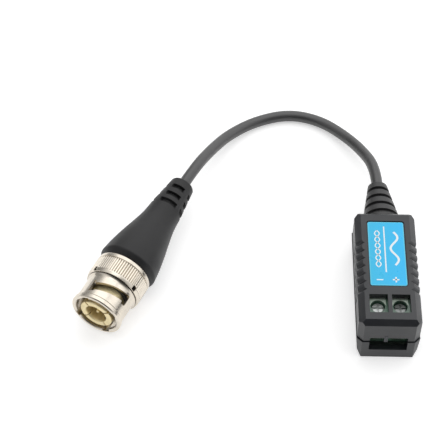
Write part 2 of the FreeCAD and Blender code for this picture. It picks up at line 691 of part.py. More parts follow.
def make_tail(x, radius):
    """A lead's bared end: out of the relief's flange and down on to the board."""
    start = Vector(x, FLANGE_FRONT, LEAD_HEIGHT)
    run = start + Vector(0, -TAIL_RUN, 0)
    centre = run + Vector(0, 0, -TAIL_BEND)
    middle = centre + Vector(0, -TAIL_BEND * math.sin(math.pi / 4), TAIL_BEND * math.cos(math.pi / 4))
    down = centre + Vector(0, -TAIL_BEND, 0)
    foot = Vector(down.x, down.y, BOARD_TOP)
    path = Part.Wire([Part.LineSegment(start, run).toShape(),
                      Part.Arc(run, middle, down).toShape(),
                      Part.LineSegment(down, foot).toShape()])
    profile = Part.Wire(Part.makeCircle(radius, start, Vector(0, -1, 0)))
    return path.makePipeShell([profile], True, True)


# Strain relief

def relief_radius(distance):
    """The tapered relief's radius at a distance from the housing's wall."""
    share = (distance - RELIEF_COLLAR_LENGTH) / (RELIEF_LENGTH - RELIEF_COLLAR_LENGTH)
    return RELIEF_BASE_RADIUS + (RELIEF_TIP_RADIUS - RELIEF_BASE_RADIUS) * share


def make_strain_relief():
    """A ribbed taper, leaning a little with the lead, with its collar, neck and inner flange."""
    front = RELIEF_FACE_GAP
    end = RELIEF_LENGTH
    collar_edge = RELIEF_COLLAR_LENGTH - RELIEF_COLLAR_CHAMFER
    outline = [(0, collar_edge), (RELIEF_BASE_RADIUS, collar_edge)]
    for index in range(GROOVE_COUNT):
        start = GROOVE_FIRST + index * GROOVE_PITCH
        stop = start + GROOVE_WIDTH
        outline += [(relief_radius(start), start),
                    (relief_radius(start) - GROOVE_DEPTH, start + GROOVE_FLANK),
                    (relief_radius(stop) - GROOVE_DEPTH, stop - GROOVE_FLANK),
                    (relief_radius(stop), stop)]
    tip = end - RELIEF_COLLAR_CHAMFER
    outline += [(relief_radius(tip), tip), (relief_radius(tip) - RELIEF_COLLAR_CHAMFER, end), (0, end)]
    taper = turned(outline)
    taper.rotate(Vector(0, 0, RELIEF_COLLAR_LENGTH), Vector(0, 1, 0), -RELIEF_LEAN)
    inside = -BASE_WALL - RELIEF_FACE_GAP
    flange = RELIEF_NECK_RADIUS + RELIEF_FLANGE_STEP
    collar = turned([(0, inside - RELIEF_FLANGE_LENGTH), (flange, inside - RELIEF_FLANGE_LENGTH),
                     (flange, inside), (RELIEF_NECK_RADIUS, inside),
                     (RELIEF_NECK_RADIUS, front), (RELIEF_COLLAR_RADIUS, front),
                     (RELIEF_COLLAR_RADIUS, collar_edge),
                     (RELIEF_COLLAR_RADIUS - RELIEF_COLLAR_CHAMFER, RELIEF_COLLAR_LENGTH),
                     (0, RELIEF_COLLAR_LENGTH)])
    relief = collar.fuse(taper)
    relief.rotate(Vector(0, 0, 0), Vector(1, 0, 0), -90)
    relief.translate(Vector(0, BASE_HALF_LENGTH, LEAD_HEIGHT))
    return relief


def relief_axis():
    """The direction in which the lead leaves the relief, and the point where it does."""
    lean = math.radians(RELIEF_LEAN)
    direction = Vector(-math.sin(lean), math.cos(lean), 0)
    pivot = Vector(0, BASE_HALF_LENGTH + RELIEF_COLLAR_LENGTH, LEAD_HEIGHT)
    return direction, pivot + direction * (RELIEF_LENGTH - RELIEF_COLLAR_LENGTH)


# Plug

def plug_axis():
    """The unit vector from the plug's mouth to its tail."""
    heading = math.radians(PLUG_HEADING)
    return Vector(math.sin(heading), math.cos(heading), 0)


def plug_point(distance):
    """The point on the plug's axis at a distance from its mouth."""
    return Vector(PLUG_MOUTH[0], PLUG_MOUTH[1], PLUG_HEIGHT) + plug_axis() * distance


def on_plug(shape):
    """Lay a piece that was made about Z on the plug's axis."""
    axis = plug_axis()
    right = Vector(axis.y, -axis.x, 0)
    shape.Placement = FreeCAD.Placement(plug_point(0),
                                        FreeCAD.Rotation(right, Vector(0, 0, -1), axis, "ZXY"))
    return shape


def at_angle(shape, angle):
    """Turn a piece from angle 0 to an angle seen from the mouth, anticlockwise."""
    shape.rotate(Vector(0, 0, 0), Vector(0, 0, 1), -angle)
    return shape


def sector(angle_from, angle_to, radius, u0, u1):
    """A wedge about Z between two angles seen from the mouth."""
    wedge = Part.makeCylinder(radius, u1 - u0, Vector(0, 0, u0), Vector(0, 0, 1),
                              angle_to - angle_from)
    return at_angle(wedge, angle_to)


def knurl_ring(u0, u1):
    """Straight teeth round the ring: a star outline carried along the axis."""
    points = []
    flank = (1 - TOOTH_LAND) / 2
    for index in range(TOOTH_COUNT):
        for share, radius in ((0, RING_RADIUS - TOOTH_DEPTH), (flank, RING_RADIUS),
                              (flank + TOOTH_LAND, RING_RADIUS)):
            angle = 2 * math.pi * (index + share) / TOOTH_COUNT
            points.append(Vector(radius * math.cos(angle), radius * math.sin(angle), u0))
    face = Part.Face(Part.makePolygon(points + points[:1]))
    bore = Part.makeCylinder(RING_BORE, u1 - u0, Vector(0, 0, u0))
    return face.extrude(Vector(0, 0, u1 - u0)).cut(bore)


def bayonet_track(angle):
    """One track: a rising window through the sleeve, with its entry and locking legs."""
    reach = FLANGE_RADIUS + OVERSHOOT
    middle = (TRACK_START + TRACK_END) / 2
    slab = Part.makeCylinder(reach, TRACK_WIDTH, Vector(0, 0, TRACK_CENTRE - TRACK_WIDTH / 2))
    tilt = math.degrees(math.atan(TRACK_RISE / SLEEVE_RADIUS))
    slab.rotate(Vector(0, 0, TRACK_CENTRE), Vector(1, 0, 0), -tilt)
    slab = at_angle(slab, middle)
    window = slab.common(sector(TRACK_END, TRACK_START, reach, 0, RIB_START))
    half = LEG_WIDTH / 2
    legs = []
    for place, front, shift in ((TRACK_END, LOCK_LEG_FRONT, half), (TRACK_START, ENTRY_LEG_FRONT, -half)):
        leg = box(0, reach, -half, half, front + half, TRACK_CENTRE)
        nose = Part.makeCylinder(half, reach, Vector(0, 0, front + half), Vector(1, 0, 0))
        turn = place + math.degrees(shift / SLEEVE_RADIUS)
        legs += [at_angle(leg, turn), at_angle(nose, turn)]
    groove = box(0, SLEEVE_BORE + ENTRY_DEPTH, -half, half, -OVERSHOOT, TRACK_CENTRE)
    legs.append(at_angle(groove, TRACK_START - math.degrees(half / SLEEVE_RADIUS)))
    cutter = window.fuse(legs)
    return at_angle(cutter, angle)


def make_coupling_sleeve():
    """The bayonet sleeve with its knurled ring, tracks and inner rib."""
    groove_end = FLANGE_LENGTH + GROOVE_AT_FLANGE
    groove_radius = SLEEVE_RADIUS - GROOVE_SINK
    knurl_start = SLEEVE_LENGTH + RING_SHOULDER
    knurl_end = RING_END - RING_LIP
    valley = RING_RADIUS - TOOTH_DEPTH
    core = valley - GROOVE_SINK
    rib_end = RIB_START + RIB_LENGTH
    rib_bore = BODY_TUBE_RADIUS + FIT_GAP
    profile = [(SLEEVE_BORE + MOUTH_CHAMFER, 0), (FLANGE_RADIUS - FLANGE_EDGE, 0),
               (FLANGE_RADIUS, FLANGE_EDGE), (FLANGE_RADIUS, FLANGE_LENGTH),
               (groove_radius, FLANGE_LENGTH), (groove_radius, groove_end),
               (SLEEVE_RADIUS, groove_end + GROOVE_SINK), (SLEEVE_RADIUS, SLEEVE_LENGTH),
               (valley - RING_EDGE, SLEEVE_LENGTH), (valley, SLEEVE_LENGTH + RING_EDGE),
               (valley, knurl_start), (core, knurl_start), (core, knurl_end),
               (RING_RADIUS, knurl_end), (RING_RADIUS, RING_END - RING_EDGE),
               (RING_RADIUS - RING_EDGE, RING_END), (RING_BORE, RING_END), (RING_BORE, rib_end),
               (rib_bore, rib_end), (rib_bore, RIB_START), (SLEEVE_BORE, RIB_START),
               (SLEEVE_BORE, MOUTH_CHAMFER)]
    sleeve = turned(profile).fuse(knurl_ring(knurl_start, knurl_end))
    marks = [at_angle(box(SLEEVE_RADIUS + GROOVE_SINK, RING_RADIUS + OVERSHOOT, -MARK_SIZE / 2,
                          MARK_SIZE / 2, SLEEVE_LENGTH - OVERSHOOT, SLEEVE_LENGTH + MARK_SIZE), angle)
             for angle in MARK_ANGLES]
    return on_plug(sleeve.cut([bayonet_track(0), bayonet_track(180)] + marks))


def make_outer_contact():
    """The gold sleeve with four spring fingers."""
    seat = CONTACT_END - GASKET_LENGTH
    profile = [(CONTACT_BORE + CONTACT_MOUTH, CONTACT_START), (CONTACT_RADIUS - CONTACT_EDGE, CONTACT_START),
               (CONTACT_RADIUS, CONTACT_START + CONTACT_EDGE), (CONTACT_RADIUS, seat),
               (GASKET_SEAT, seat), (GASKET_SEAT, CONTACT_END), (CONTACT_BORE, CONTACT_END),
               (CONTACT_BORE, CONTACT_START + CONTACT_MOUTH)]
    half = FINGER_SLOT / 2
    slots = [at_angle(box(0, CONTACT_RADIUS + OVERSHOOT, -half, half, CONTACT_START - OVERSHOOT,
                          CONTACT_START + FINGER_LENGTH), FINGER_ANGLE + 360.0 * index / FINGER_COUNT)
             for index in range(FINGER_COUNT)]
    return on_plug(turned(profile).cut(slots))


def make_centre_pin():
    """The gold pin with a tapered tip and a bored tail for the lead's wire."""
    bore = COAX_WIRE_RADIUS + FIT_GAP
    profile = [(0, PIN_START), (PIN_TIP_RADIUS / 2, PIN_START),
               (PIN_TIP_RADIUS, PIN_START + PIN_TIP_RADIUS / 2), (PIN_RADIUS, PIN_START + PIN_TAPER),
               (PIN_RADIUS, INSULATOR_START),
               (PIN_SHOULDER, INSULATOR_START), (PIN_SHOULDER, PIN_END), (bore, PIN_END),
               (bore, PIN_END - PIN_BORE_DEPTH), (0, PIN_END - PIN_BORE_DEPTH)]
    return on_plug(turned(profile))


def make_insulator():
    """The white insulator that centres the pin."""
    return on_plug(tube(INSULATOR_RADIUS, PIN_SHOULDER + FIT_GAP, INSULATOR_START, INSULATOR_END))


def make_gasket():
    """The sealing ring round the foot of the outer contact."""
    start = CONTACT_END - GASKET_LENGTH
    return on_plug(tube(BODY_FLANGE_RADIUS, GASKET_SEAT + FIT_GAP, start, CONTACT_END))


def make_plug_body():
    """The plated body: flange, tube for the sleeve to turn on, clip groove and crimp stem."""
    bore = INSULATOR_RADIUS + FIT_GAP
    flange_end = CONTACT_END + BODY_FLANGE_LENGTH
    clip_end = CLIP_START + CLIP_THICKNESS + FIT_GAP
    seat = BODY_TUBE_RADIUS - CLIP_GROOVE
    profile = [(bore, CONTACT_END), (BODY_FLANGE_RADIUS, CONTACT_END),
               (BODY_FLANGE_RADIUS, flange_end), (BODY_TUBE_RADIUS, flange_end),
               (BODY_TUBE_RADIUS, CLIP_START - FIT_GAP), (seat, CLIP_START - FIT_GAP),
               (seat, clip_end), (BODY_TUBE_RADIUS, clip_end), (BODY_TUBE_RADIUS, BODY_END),
               (STEM_RADIUS, BODY_END), (STEM_RADIUS, STEM_END), (STEM_BORE, STEM_END),
               (STEM_BORE, INSULATOR_END), (bore, INSULATOR_END)]
    return on_plug(turned(profile))


def make_wave_washer():
    """A spring washer with even waves: a ruled ring between two wavy circles, thickened."""
    inner = BODY_TUBE_RADIUS + FIT_GAP
    outer = BODY_FLANGE_RADIUS
    rims = []
    for radius in (inner, outer):
        points = []
        for index in range(8 * WASHER_WAVES):
            angle = 2 * math.pi * index / (8 * WASHER_WAVES)
            height = WASHER_START + WASHER_WAVE / 2 * (1 - math.cos(WASHER_WAVES * angle))
            points.append(Vector(radius * math.cos(angle), radius * math.sin(angle), height))
        curve = Part.BSplineCurve()
        curve.interpolate(points, PeriodicFlag=True)
        rims.append(curve.toShape())
    ribbon = Part.makeRuledSurface(rims[0], rims[1])
    return on_plug(ribbon.extrude(Vector(0, 0, WASHER_THICKNESS)))


def make_thrust_washer():
    """The flat washer between the spring washer and the sleeve's rib."""
    return on_plug(tube(BODY_FLANGE_RADIUS, BODY_TUBE_RADIUS + FIT_GAP, THRUST_START, RIB_START))


def make_clip():
    """The open spring clip that keeps the sleeve on the body."""
    seat = BODY_TUBE_RADIUS - CLIP_GROOVE + FIT_GAP
    ring = tube(CLIP_RADIUS, seat, CLIP_START, CLIP_START + CLIP_THICKNESS)
    mouth = sector(-CLIP_MOUTH / 2, CLIP_MOUTH / 2, CLIP_RADIUS + OVERSHOOT, CLIP_START - OVERSHOOT,
                   CLIP_START + CLIP_THICKNESS + OVERSHOOT)
    return on_plug(ring.cut(mouth))


def make_braid():
    """The lead's screen, folded over the body's stem."""
    inner = STEM_RADIUS + FIT_GAP
    start = BODY_END + FIT_GAP
    return on_plug(tube(inner + BRAID_THICKNESS, inner, start, STEM_END + BRAID_PROUD))


def ferrule_radius():
    """The crimp ferrule's outer radius, over the screen on the stem."""
    return STEM_RADIUS + FIT_GAP + BRAID_THICKNESS + FIT_GAP + FERRULE_WALL


def make_ferrule():
    """The crimp ferrule over the screen."""
    outer = ferrule_radius()
    start = BODY_END + FIT_GAP
    return on_plug(tube(outer, outer - FERRULE_WALL, start, start + FERRULE_LENGTH))


def make_coax_core():
    """The lead's insulated core inside the stem, with its bared wire in the pin."""
    wire_end = PIN_END - PIN_BORE_DEPTH + COAX_CORE_GAP
    core_start = INSULATOR_END + COAX_CORE_GAP
    profile = [(0, wire_end), (COAX_WIRE_RADIUS, wire_end), (COAX_WIRE_RADIUS, core_start),
               (COAX_CORE_RADIUS, core_start), (COAX_CORE_RADIUS, COAX_CORE_END), (0, COAX_CORE_END)]
    return on_plug(turned(profile))


def tail_radius(u):
    """The boot's radius along its slotted tail, u counted from the boot's front face."""
    share = (u - BOOT_TAIL[1]) / (BOOT_LENGTH - BOOT_TAIL[1])
    return BOOT_TAIL[0] + (BOOT_END_RADIUS - BOOT_TAIL[0]) * share


def boot_profile():
    """The boot's half section, radius in X and distance from its front face in Z."""
    cavity = ferrule_radius() + FIT_GAP
    core = COAX_CORE_RADIUS + FIT_GAP
    core_end = COAX_CORE_LENGTH + FIT_GAP
    ferrule_end = FERRULE_LENGTH + 2 * FIT_GAP
    round_start = Vector(tail_radius(BOOT_LENGTH - BOOT_END_ROUND), 0, BOOT_LENGTH - BOOT_END_ROUND)
    round_end = Vector(round_start.x - BOOT_END_ROUND, 0, BOOT_LENGTH)
    bulge = BOOT_END_ROUND * (1 - math.sqrt(0.5))
    round_middle = Vector(round_start.x - bulge, 0, BOOT_LENGTH - bulge)
    front = Vector(BOOT_FRONT_RADIUS, 0, 0)
    rim = Vector(BOOT_RIM_RADIUS, 0, BOOT_RIM_AT)
    flank = Part.BSplineCurve()
    flank.interpolate([rim] + [Vector(r, 0, u) for r, u in BOOT_FLANK + (BOOT_NECK,)])
    neck = Vector(BOOT_NECK[0], 0, BOOT_NECK[1])
    tail = Vector(BOOT_TAIL[0], 0, BOOT_TAIL[1])
    edges = [Part.LineSegment(front, rim).toShape(), flank.toShape(),
             Part.LineSegment(neck, tail).toShape(), Part.LineSegment(tail, round_start).toShape(),
             Part.Arc(round_start, round_middle, round_end).toShape()]
    corners = [round_end, Vector(0, 0, BOOT_LENGTH), Vector(0, 0, core_end), Vector(core, 0, core_end),
               Vector(core, 0, ferrule_end), Vector(cavity, 0, ferrule_end), Vector(cavity, 0, 0), front]
    edges += [Part.LineSegment(a, b).toShape() for a, b in zip(corners, corners[1:])]
    return Part.Face(Part.Wire(edges))


def make_boot():
    """The moulded boot: a bevelled rim, a long hollow flank and a slotted, bendable tail."""
    boot = boot_profile().revolve(Vector(0, 0, 0), Vector(0, 0, 1), 360)
    boot.translate(Vector(0, 0, BODY_END))
    half = BOOT_SLOT_LENGTH / 2
    slots = []
    for row in range(BOOT_SLOT_COUNT):
        middle = BOOT_SLOT_FIRST + row * BOOT_SLOT_PITCH
        floor = tail_radius(middle) - BOOT_SLOT_DEPTH
        start = BODY_END + middle - BOOT_SLOT_WIDTH / 2
        for angle in BOOT_SLOT_ANGLES:
            slot = box(floor, BOOT_RIM_RADIUS, -half, half, start, start + BOOT_SLOT_WIDTH)
            slots.append(at_angle(slot, angle))
    return on_plug(boot.cut(slots))


# Coaxial lead between plug and housing

def lead_route():
    """The lead's points: straight out of both ends, and down to the surface between them."""
    axis = plug_axis()
    start = plug_point(BOOT_END)
    direction, end = relief_axis()
    loose = [Vector(*point) for point in LEAD_POINTS]
    return [start, start + axis * STRAIGHT_AT_PLUG] + loose + [end + direction * STRAIGHT_AT_HOUSING, end]


def rounded_path(points):
    """Straight runs joined by tangent arcs, each as large as its two runs allow."""
    edges = []
    radii = []
    length = 0.0
    last = points[0]
    for before, corner, after in zip(points, points[1:], points[2:]):
        back = before - corner
        ahead = after - corner
        shorter = min(back.Length, ahead.Length)
        half_turn = (math.pi - back.getAngle(ahead)) / 2
        trim = 0.45 * shorter
        radius = trim / math.tan(half_turn)
        entry = corner + back.normalize() * trim
        leave = corner + ahead.normalize() * trim
        bisector = ((entry + leave) * 0.5 - corner).normalize()
        middle = corner + bisector * (radius / math.cos(half_turn) - radius)
        edges.append(Part.LineSegment(last, entry).toShape())
        edges.append(Part.Arc(entry, middle, leave).toShape())
        radii.append(radius)
        length += (entry - last).Length + 2 * half_turn * radius
        last = leave
    edges.append(Part.LineSegment(last, points[-1]).toShape())
    length += (points[-1] - last).Length
    return Part.Wire(edges), radii, length


def make_cable():
    """The lead's jacket, a round tube along its route."""
    points = lead_route()
    path, radii, length = rounded_path(points)
    profile = Part.Wire(Part.makeCircle(CABLE_RADIUS, points[0], points[1] - points[0]))
    cable = path.makePipeShell([profile], True, True)
    section = math.pi * CABLE_RADIUS ** 2
    print("lead: length %.2f, arc radii %s" % (length, ", ".join("%.1f" % r for r in radii)))
    print("lead: volume %.2f, section times length %.2f" % (cable.Volume, section * length))
    return cable


def all_pieces():
    """Every named piece of the balun."""
    minus, plus = pole_places()
    return {
        "housing_top": make_housing_top(),
        "housing_bottom": make_housing_bottom(),
        "label": make_label(),
        "terminal_block": make_terminal_block(),
        "terminal_contact_minus": make_contact(minus),
        "terminal_contact_plus": make_contact(plus),
        "clamp_cage_minus": make_cage(minus),
        "clamp_cage_plus": make_cage(plus),
        "clamp_screw_minus": make_screw(minus),
        "clamp_screw_plus": make_screw(plus),
        "circuit_board": make_board(),
        "ferrite_ring": make_core(),
        "transformer_winding": make_winding(),
        "surge_arrester": make_arrester(),
        "chip_capacitors": make_chips(CAPACITOR_SIZE, CAPACITOR_X, CAPACITOR_Y),
        "chip_resistors": make_chips(RESISTOR_SIZE, RESISTOR_X, RESISTOR_Y),
        "signal_tail": make_tail(SIGNAL_TAIL_X, TAIL_LEAD_RADIUS),
        "screen_tail": make_tail(SCREEN_TAIL_X, TAIL_SCREEN_RADIUS),
        "strain_relief": make_strain_relief(),
        "cable": make_cable(),
        "plug_boot": make_boot(),
        "crimp_ferrule": make_ferrule(),
        "cable_screen": make_braid(),
        "cable_core": make_coax_core(),
        "plug_body": make_plug_body(),
        "spring_clip": make_clip(),
        "wave_washer": make_wave_washer(),
        "thrust_washer": make_thrust_washer(),
        "gasket": make_gasket(),
        "insulator": make_insulator(),
        "centre_pin": make_centre_pin(),
        "outer_contact": make_outer_contact(),
        "coupling_sleeve": make_coupling_sleeve(),
    }


def main():
    """Build every piece and write one file for each."""
    os.makedirs("parts", exist_ok=True)
    for name, shape in all_pieces().items():
        solids = shape.Solids
        print("%-24s %2d solid(s), valid %s, %.2f mm3" % (name, len(solids), shape.isValid(), shape.Volume))
        shape.exportStep("parts/%s.step" % name)


main()
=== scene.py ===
"""Looks of a passive video balun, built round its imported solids.

Everything is in metres in the part's own frame: +Z up, the origin under the middle of the
housing, the screw terminal at -Y, the lead at +Y, and the bayonet plug lying at -X.
"""

import json
import logging
import math
from dataclasses import dataclass
from enum import Enum
from functools import cache
from typing import Callable, Dict, List, Optional, Sequence, Tuple

import bmesh
import bpy
import numpy as np
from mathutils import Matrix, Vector


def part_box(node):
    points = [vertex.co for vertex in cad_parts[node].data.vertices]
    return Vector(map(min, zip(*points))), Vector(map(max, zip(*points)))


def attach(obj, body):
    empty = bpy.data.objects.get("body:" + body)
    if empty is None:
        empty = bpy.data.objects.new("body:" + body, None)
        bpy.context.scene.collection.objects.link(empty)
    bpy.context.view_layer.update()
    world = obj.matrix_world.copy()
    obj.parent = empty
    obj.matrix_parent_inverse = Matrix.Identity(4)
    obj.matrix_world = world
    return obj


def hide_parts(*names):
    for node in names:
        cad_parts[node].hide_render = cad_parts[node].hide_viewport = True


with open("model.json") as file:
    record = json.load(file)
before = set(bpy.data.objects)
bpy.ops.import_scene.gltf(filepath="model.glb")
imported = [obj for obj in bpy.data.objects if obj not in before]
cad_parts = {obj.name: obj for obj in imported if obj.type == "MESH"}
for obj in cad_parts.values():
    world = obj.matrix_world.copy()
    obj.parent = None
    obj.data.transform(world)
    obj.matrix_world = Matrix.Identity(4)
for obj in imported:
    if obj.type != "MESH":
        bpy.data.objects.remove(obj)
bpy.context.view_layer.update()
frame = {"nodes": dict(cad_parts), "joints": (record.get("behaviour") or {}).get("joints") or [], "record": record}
BODY_OF = {node: body for body, nodes in frame["record"]["behaviour"]["bodies"].items()
           for node in nodes}

MM = 0.001
FULL_TURN = 2.0 * math.pi
NOISE_RANGE = (0.3, 0.7)
WHITE = (1.0, 1.0, 1.0, 1.0)
RING_JOINT_PLACE = 6.7 * MM
log = logging.getLogger("balun")

Pair = Tuple[float, float]
Colour = Tuple[float, float, float]
Point = Tuple[float, float, float]
Socket = bpy.types.NodeSocket
Material = bpy.types.Material
Mesh = bpy.types.Mesh
Thing = bpy.types.Object
Sheet = bmesh.types.BMesh
Array = np.ndarray


def shade(colour: Colour, factor: float) -> Colour:
    """A lighter or darker version of a colour."""
    return tuple(min(1.0, channel * factor) for channel in colour)


class Shader:
    """A material's surface or a world's background, and the nodes that feed it."""

    def __init__(self, owner: bpy.types.ID, surface: str = "Principled BSDF") -> None:
        """Start with what the owner is made with.

        Args:
            owner: A new material or world.
            surface: The node of it that is fed.
        """
        owner.use_nodes = True
        self.owner = owner
        self.tree = owner.node_tree
        self.surface = self.tree.nodes[surface]

    def fill(self, node: bpy.types.Node, inputs: Dict[object, object]) -> None:
        """Set a node's sockets.

        Args:
            node: The node.
            inputs: Values by the socket's name or number. A socket as value is linked.
        """
        for name, value in inputs.items():
            if isinstance(value, Socket):
                self.tree.links.new(value, node.inputs[name])
            else:
                node.inputs[name].default_value = value

    def feed(self, inputs: Dict[str, object]) -> None:
        """Set the surface's own sockets."""
        self.fill(self.surface, inputs)

    def add(self, kind: str, inputs: Dict[object, object], **settings: object) -> bpy.types.Node:
        """Add a node.

        Args:
            kind: Its type, without the common prefix.
            inputs: What its sockets are filled with.
            settings: Its properties.

        Returns:
            The node.
        """
        node = self.tree.nodes.new("ShaderNode" + kind)
        for name, value in settings.items():
            setattr(node, name, value)
        self.fill(node, inputs)
        return node

    def place(self, origin: Point, turn: Point) -> Socket:
        """Object coordinates as seen from a set of axes.

        Args:
            origin: Where the axes' origin lies.
            turn: How the axes are turned, in radians.

        Returns:
            The place.
        """
        source = self.add("TexCoord", {}).outputs["Object"]
        return self.add("Mapping", {"Vector": source, "Location": origin, "Rotation": turn},
                        vector_type="TEXTURE").outputs["Vector"]

    def split(self, where: Socket) -> Tuple[Socket, ...]:
        """The three coordinates of a place."""
        return tuple(self.add("SeparateXYZ", {"Vector": where}).outputs)

    def noise(self, where: Socket, scale: float, detail: float = 3.0,
              roughness: float = 0.5) -> Socket:
        """Smooth noise of a number of features per metre."""
        return self.add("TexNoise", {"Vector": where, "Scale": scale, "Detail": detail,
                                     "Roughness": roughness}).outputs["Fac"]

    def remap(self, source: Socket, before: Pair, after: Pair = (0.0, 1.0),
              **settings: object) -> Socket:
        """Carry one range of values over to another, held at its ends.

        Args:
            source: The values.
            before: The range that they lie in.
            after: The range that they are carried to.
            settings: Properties of the node.

        Returns:
            The new values.
        """
        return self.add("MapRange", {"Value": source, "From Min": before[0], "From Max": before[1],
                                     "To Min": after[0], "To Max": after[1]},
                        **settings).outputs["Result"]

    def swing(self, noise: Socket, middle: float, reach: float) -> Socket:
        """Values that follow a noise to both sides of a middle value."""
        return self.remap(noise, NOISE_RANGE, (middle - reach, middle + reach))

    def ramp(self, source: Socket, *stops: Tuple[float, Colour]) -> Socket:
        """Colours at two values, blended between them.

        Args:
            source: The values.
            stops: The two values, each with its colour.

        Returns:
            The colour.
        """
        node = self.add("ValToRGB", {"Fac": source})
        for element, (position, colour) in zip(node.color_ramp.elements, stops):
            element.position = position
            element.color = (*colour, 1.0)
        return node.outputs["Color"]

    def tones(self, noise: Socket, colour: Colour, factors: Pair) -> Socket:
        """A colour that follows a noise from a darker to a lighter version of itself."""
        return self.ramp(noise, *zip(NOISE_RANGE, (shade(colour, factor) for factor in factors)))

    def mix(self, share: Socket, first: object, second: object) -> Socket:
        """The first colour where the share is 0, and the second where it is 1."""
        return self.add("Mix", {0: share, 6: first, 7: second}, data_type="RGBA").outputs[2]

    def math(self, operation: str, first: object, second: object = 0.0) -> Socket:
        """One operation on one or two values."""
        return self.add("Math", {0: first, 1: second}, operation=operation).outputs["Value"]

    def reach(self, first: Socket, second: Socket) -> Socket:
        """The distance of a point from an axis: the root of the sum of two squares."""
        squares = [self.math("POWER", side, 2.0) for side in (first, second)]
        return self.math("SQRT", self.math("ADD", *squares))

    def bump(self, height: Socket, depth: float, before: Optional[Socket] = None) -> Socket:
        """A relief of a real depth.

        Args:
            height: Its height, where 1 is the whole depth.
            depth: The depth in metres.
            before: An earlier relief that it is laid over.

        Returns:
            The surface's direction.
        """
        inputs: Dict[object, object] = {"Height": height, "Distance": depth, "Strength": 1.0}
        if before is not None:
            inputs["Normal"] = before
        return self.add("Bump", inputs).outputs["Normal"]


@dataclass(frozen=True)
class Finish:
    """What a surface looks like. Its patterns are laid out from its own set of axes."""

    name: str
    colour: Colour
    origin: Point = (0.0, 0.0, 0.0)
    turn: Point = (0.0, 0.0, 0.0)

    @cache
    def material(self) -> Material:
        """The finish as a material, made once.

        Returns:
            The material.
        """
        shader = Shader(bpy.data.materials.new(self.name))
        self.paint(shader, shader.place(self.origin, self.turn))
        return shader.owner

    def paint(self, shader: Shader, where: Socket) -> None:
        """Feed the surface.

        Args:
            shader: The shader that is fed.
            where: The place in the finish's own axes.
        """
        raise NotImplementedError(self.name)


@dataclass(frozen=True)
class MouldedPlastic(Finish):
    """Moulded plastic with a fine spark-eroded grain and a faint mottling of its gloss."""

    roughness: float = 0.42
    specular: float = 0.63
    mottling: float = 0.12
    mottles_per_metre: float = 260.0
    grain_per_metre: float = 7000.0
    grain_depth: float = 0.006 * MM

    def resin(self, shader: Shader, where: Socket) -> Socket:
        """The mottled colour of the plastic."""
        return shader.tones(shader.noise(where, self.mottles_per_metre), self.colour,
                            (1.0 - self.mottling, 1.0 + self.mottling))

    def paint(self, shader: Shader, where: Socket) -> None:
        """Feed the surface.

        Args:
            shader: The shader that is fed.
            where: The place in the finish's own axes.
        """
        grain = shader.noise(where, self.grain_per_metre, detail=2.0)
        handling = shader.noise(where, 140.0, detail=5.0)
        shader.feed({"Base Color": self.resin(shader, where),
                     "Roughness": shader.swing(handling, self.roughness, 0.05),
                     "Normal": shader.bump(grain, self.grain_depth),
                     "Specular IOR Level": self.specular})


@dataclass(frozen=True)
class BlockPlastic(MouldedPlastic):
    """The block's plastic, with shade painted dark round its screws, at its sides and front."""

    # The colour of the painted shade.
    dark: Colour = (0.085, 0.18, 0.12)
    pole: Pair = (0.0, 0.0)
    shaded_hollows: Tuple[Pair, ...] = ((0.0, 1.64 * MM), (-0.75 * MM, 2.0 * MM))
    side: float = 1.75 * MM
    front: float = 0.0
    blend: float = 0.12 * MM

    def resin(self, shader: Shader, where: Socket) -> Socket:
        """The plastic's colour.

        It is painted dark, as shade, where the distance from a screw's axis is less than the bore's
        radius, or that from a point in front of the axis less than the hollow's, beyond the
        windows' sides, and at the front.

        Args:
            shader: The shader that is fed.
            where: The place in the finish's own axes.

        Returns:
            The colour.
        """
        across, along, _ = shader.split(where)
        across = shader.math("SUBTRACT", shader.math("ABSOLUTE", across), self.pole[0])
        beside = shader.math("ABSOLUTE", across)
        # Each share is 1 where no painted shade lies: behind the front, within the windows' sides, and outside
        # each hollow.
        clear = [shader.remap(along, (self.front, self.front + 4.0 * self.blend)),
                 shader.remap(beside, (self.side, self.side + self.blend), (1.0, 0.0))]
        for ahead, radius in self.shaded_hollows:
            away = shader.math("SUBTRACT", along, self.pole[1] + ahead)
            clear.append(shader.remap(shader.reach(beside, away), (radius, radius + self.blend)))
        unshaded_share = clear[0]
        for part in clear[1:]:
            unshaded_share = shader.math("MINIMUM", unshaded_share, part)
        return shader.mix(unshaded_share, (*self.dark, 1.0), super().resin(shader, where))


@dataclass(frozen=True)
class SoftVinyl(Finish):
    """Flexible black vinyl: a matte skin with broad soft highlights and slight waviness."""

    roughness: float = 0.5
    specular: float = 0.55
    grain_per_metre: float = 4500.0
    grain_depth: float = 0.008 * MM
    waviness: float = 0.03 * MM

    def paint(self, shader: Shader, where: Socket) -> None:
        """Feed the surface.

        Args:
            shader: The shader that is fed.
            where: The place in the finish's own axes.
        """
        cloud = shader.noise(where, 300.0, detail=4.0)
        swell = shader.bump(shader.noise(where, 220.0), self.waviness)
        grain = shader.noise(where, self.grain_per_metre, detail=2.0)
        shader.feed({"Base Color": shader.tones(cloud, self.colour, (0.8, 1.25)),
                     "Roughness": shader.swing(cloud, self.roughness, 0.06),
                     "Normal": shader.bump(grain, self.grain_depth, swell),
                     "Specular IOR Level": self.specular})


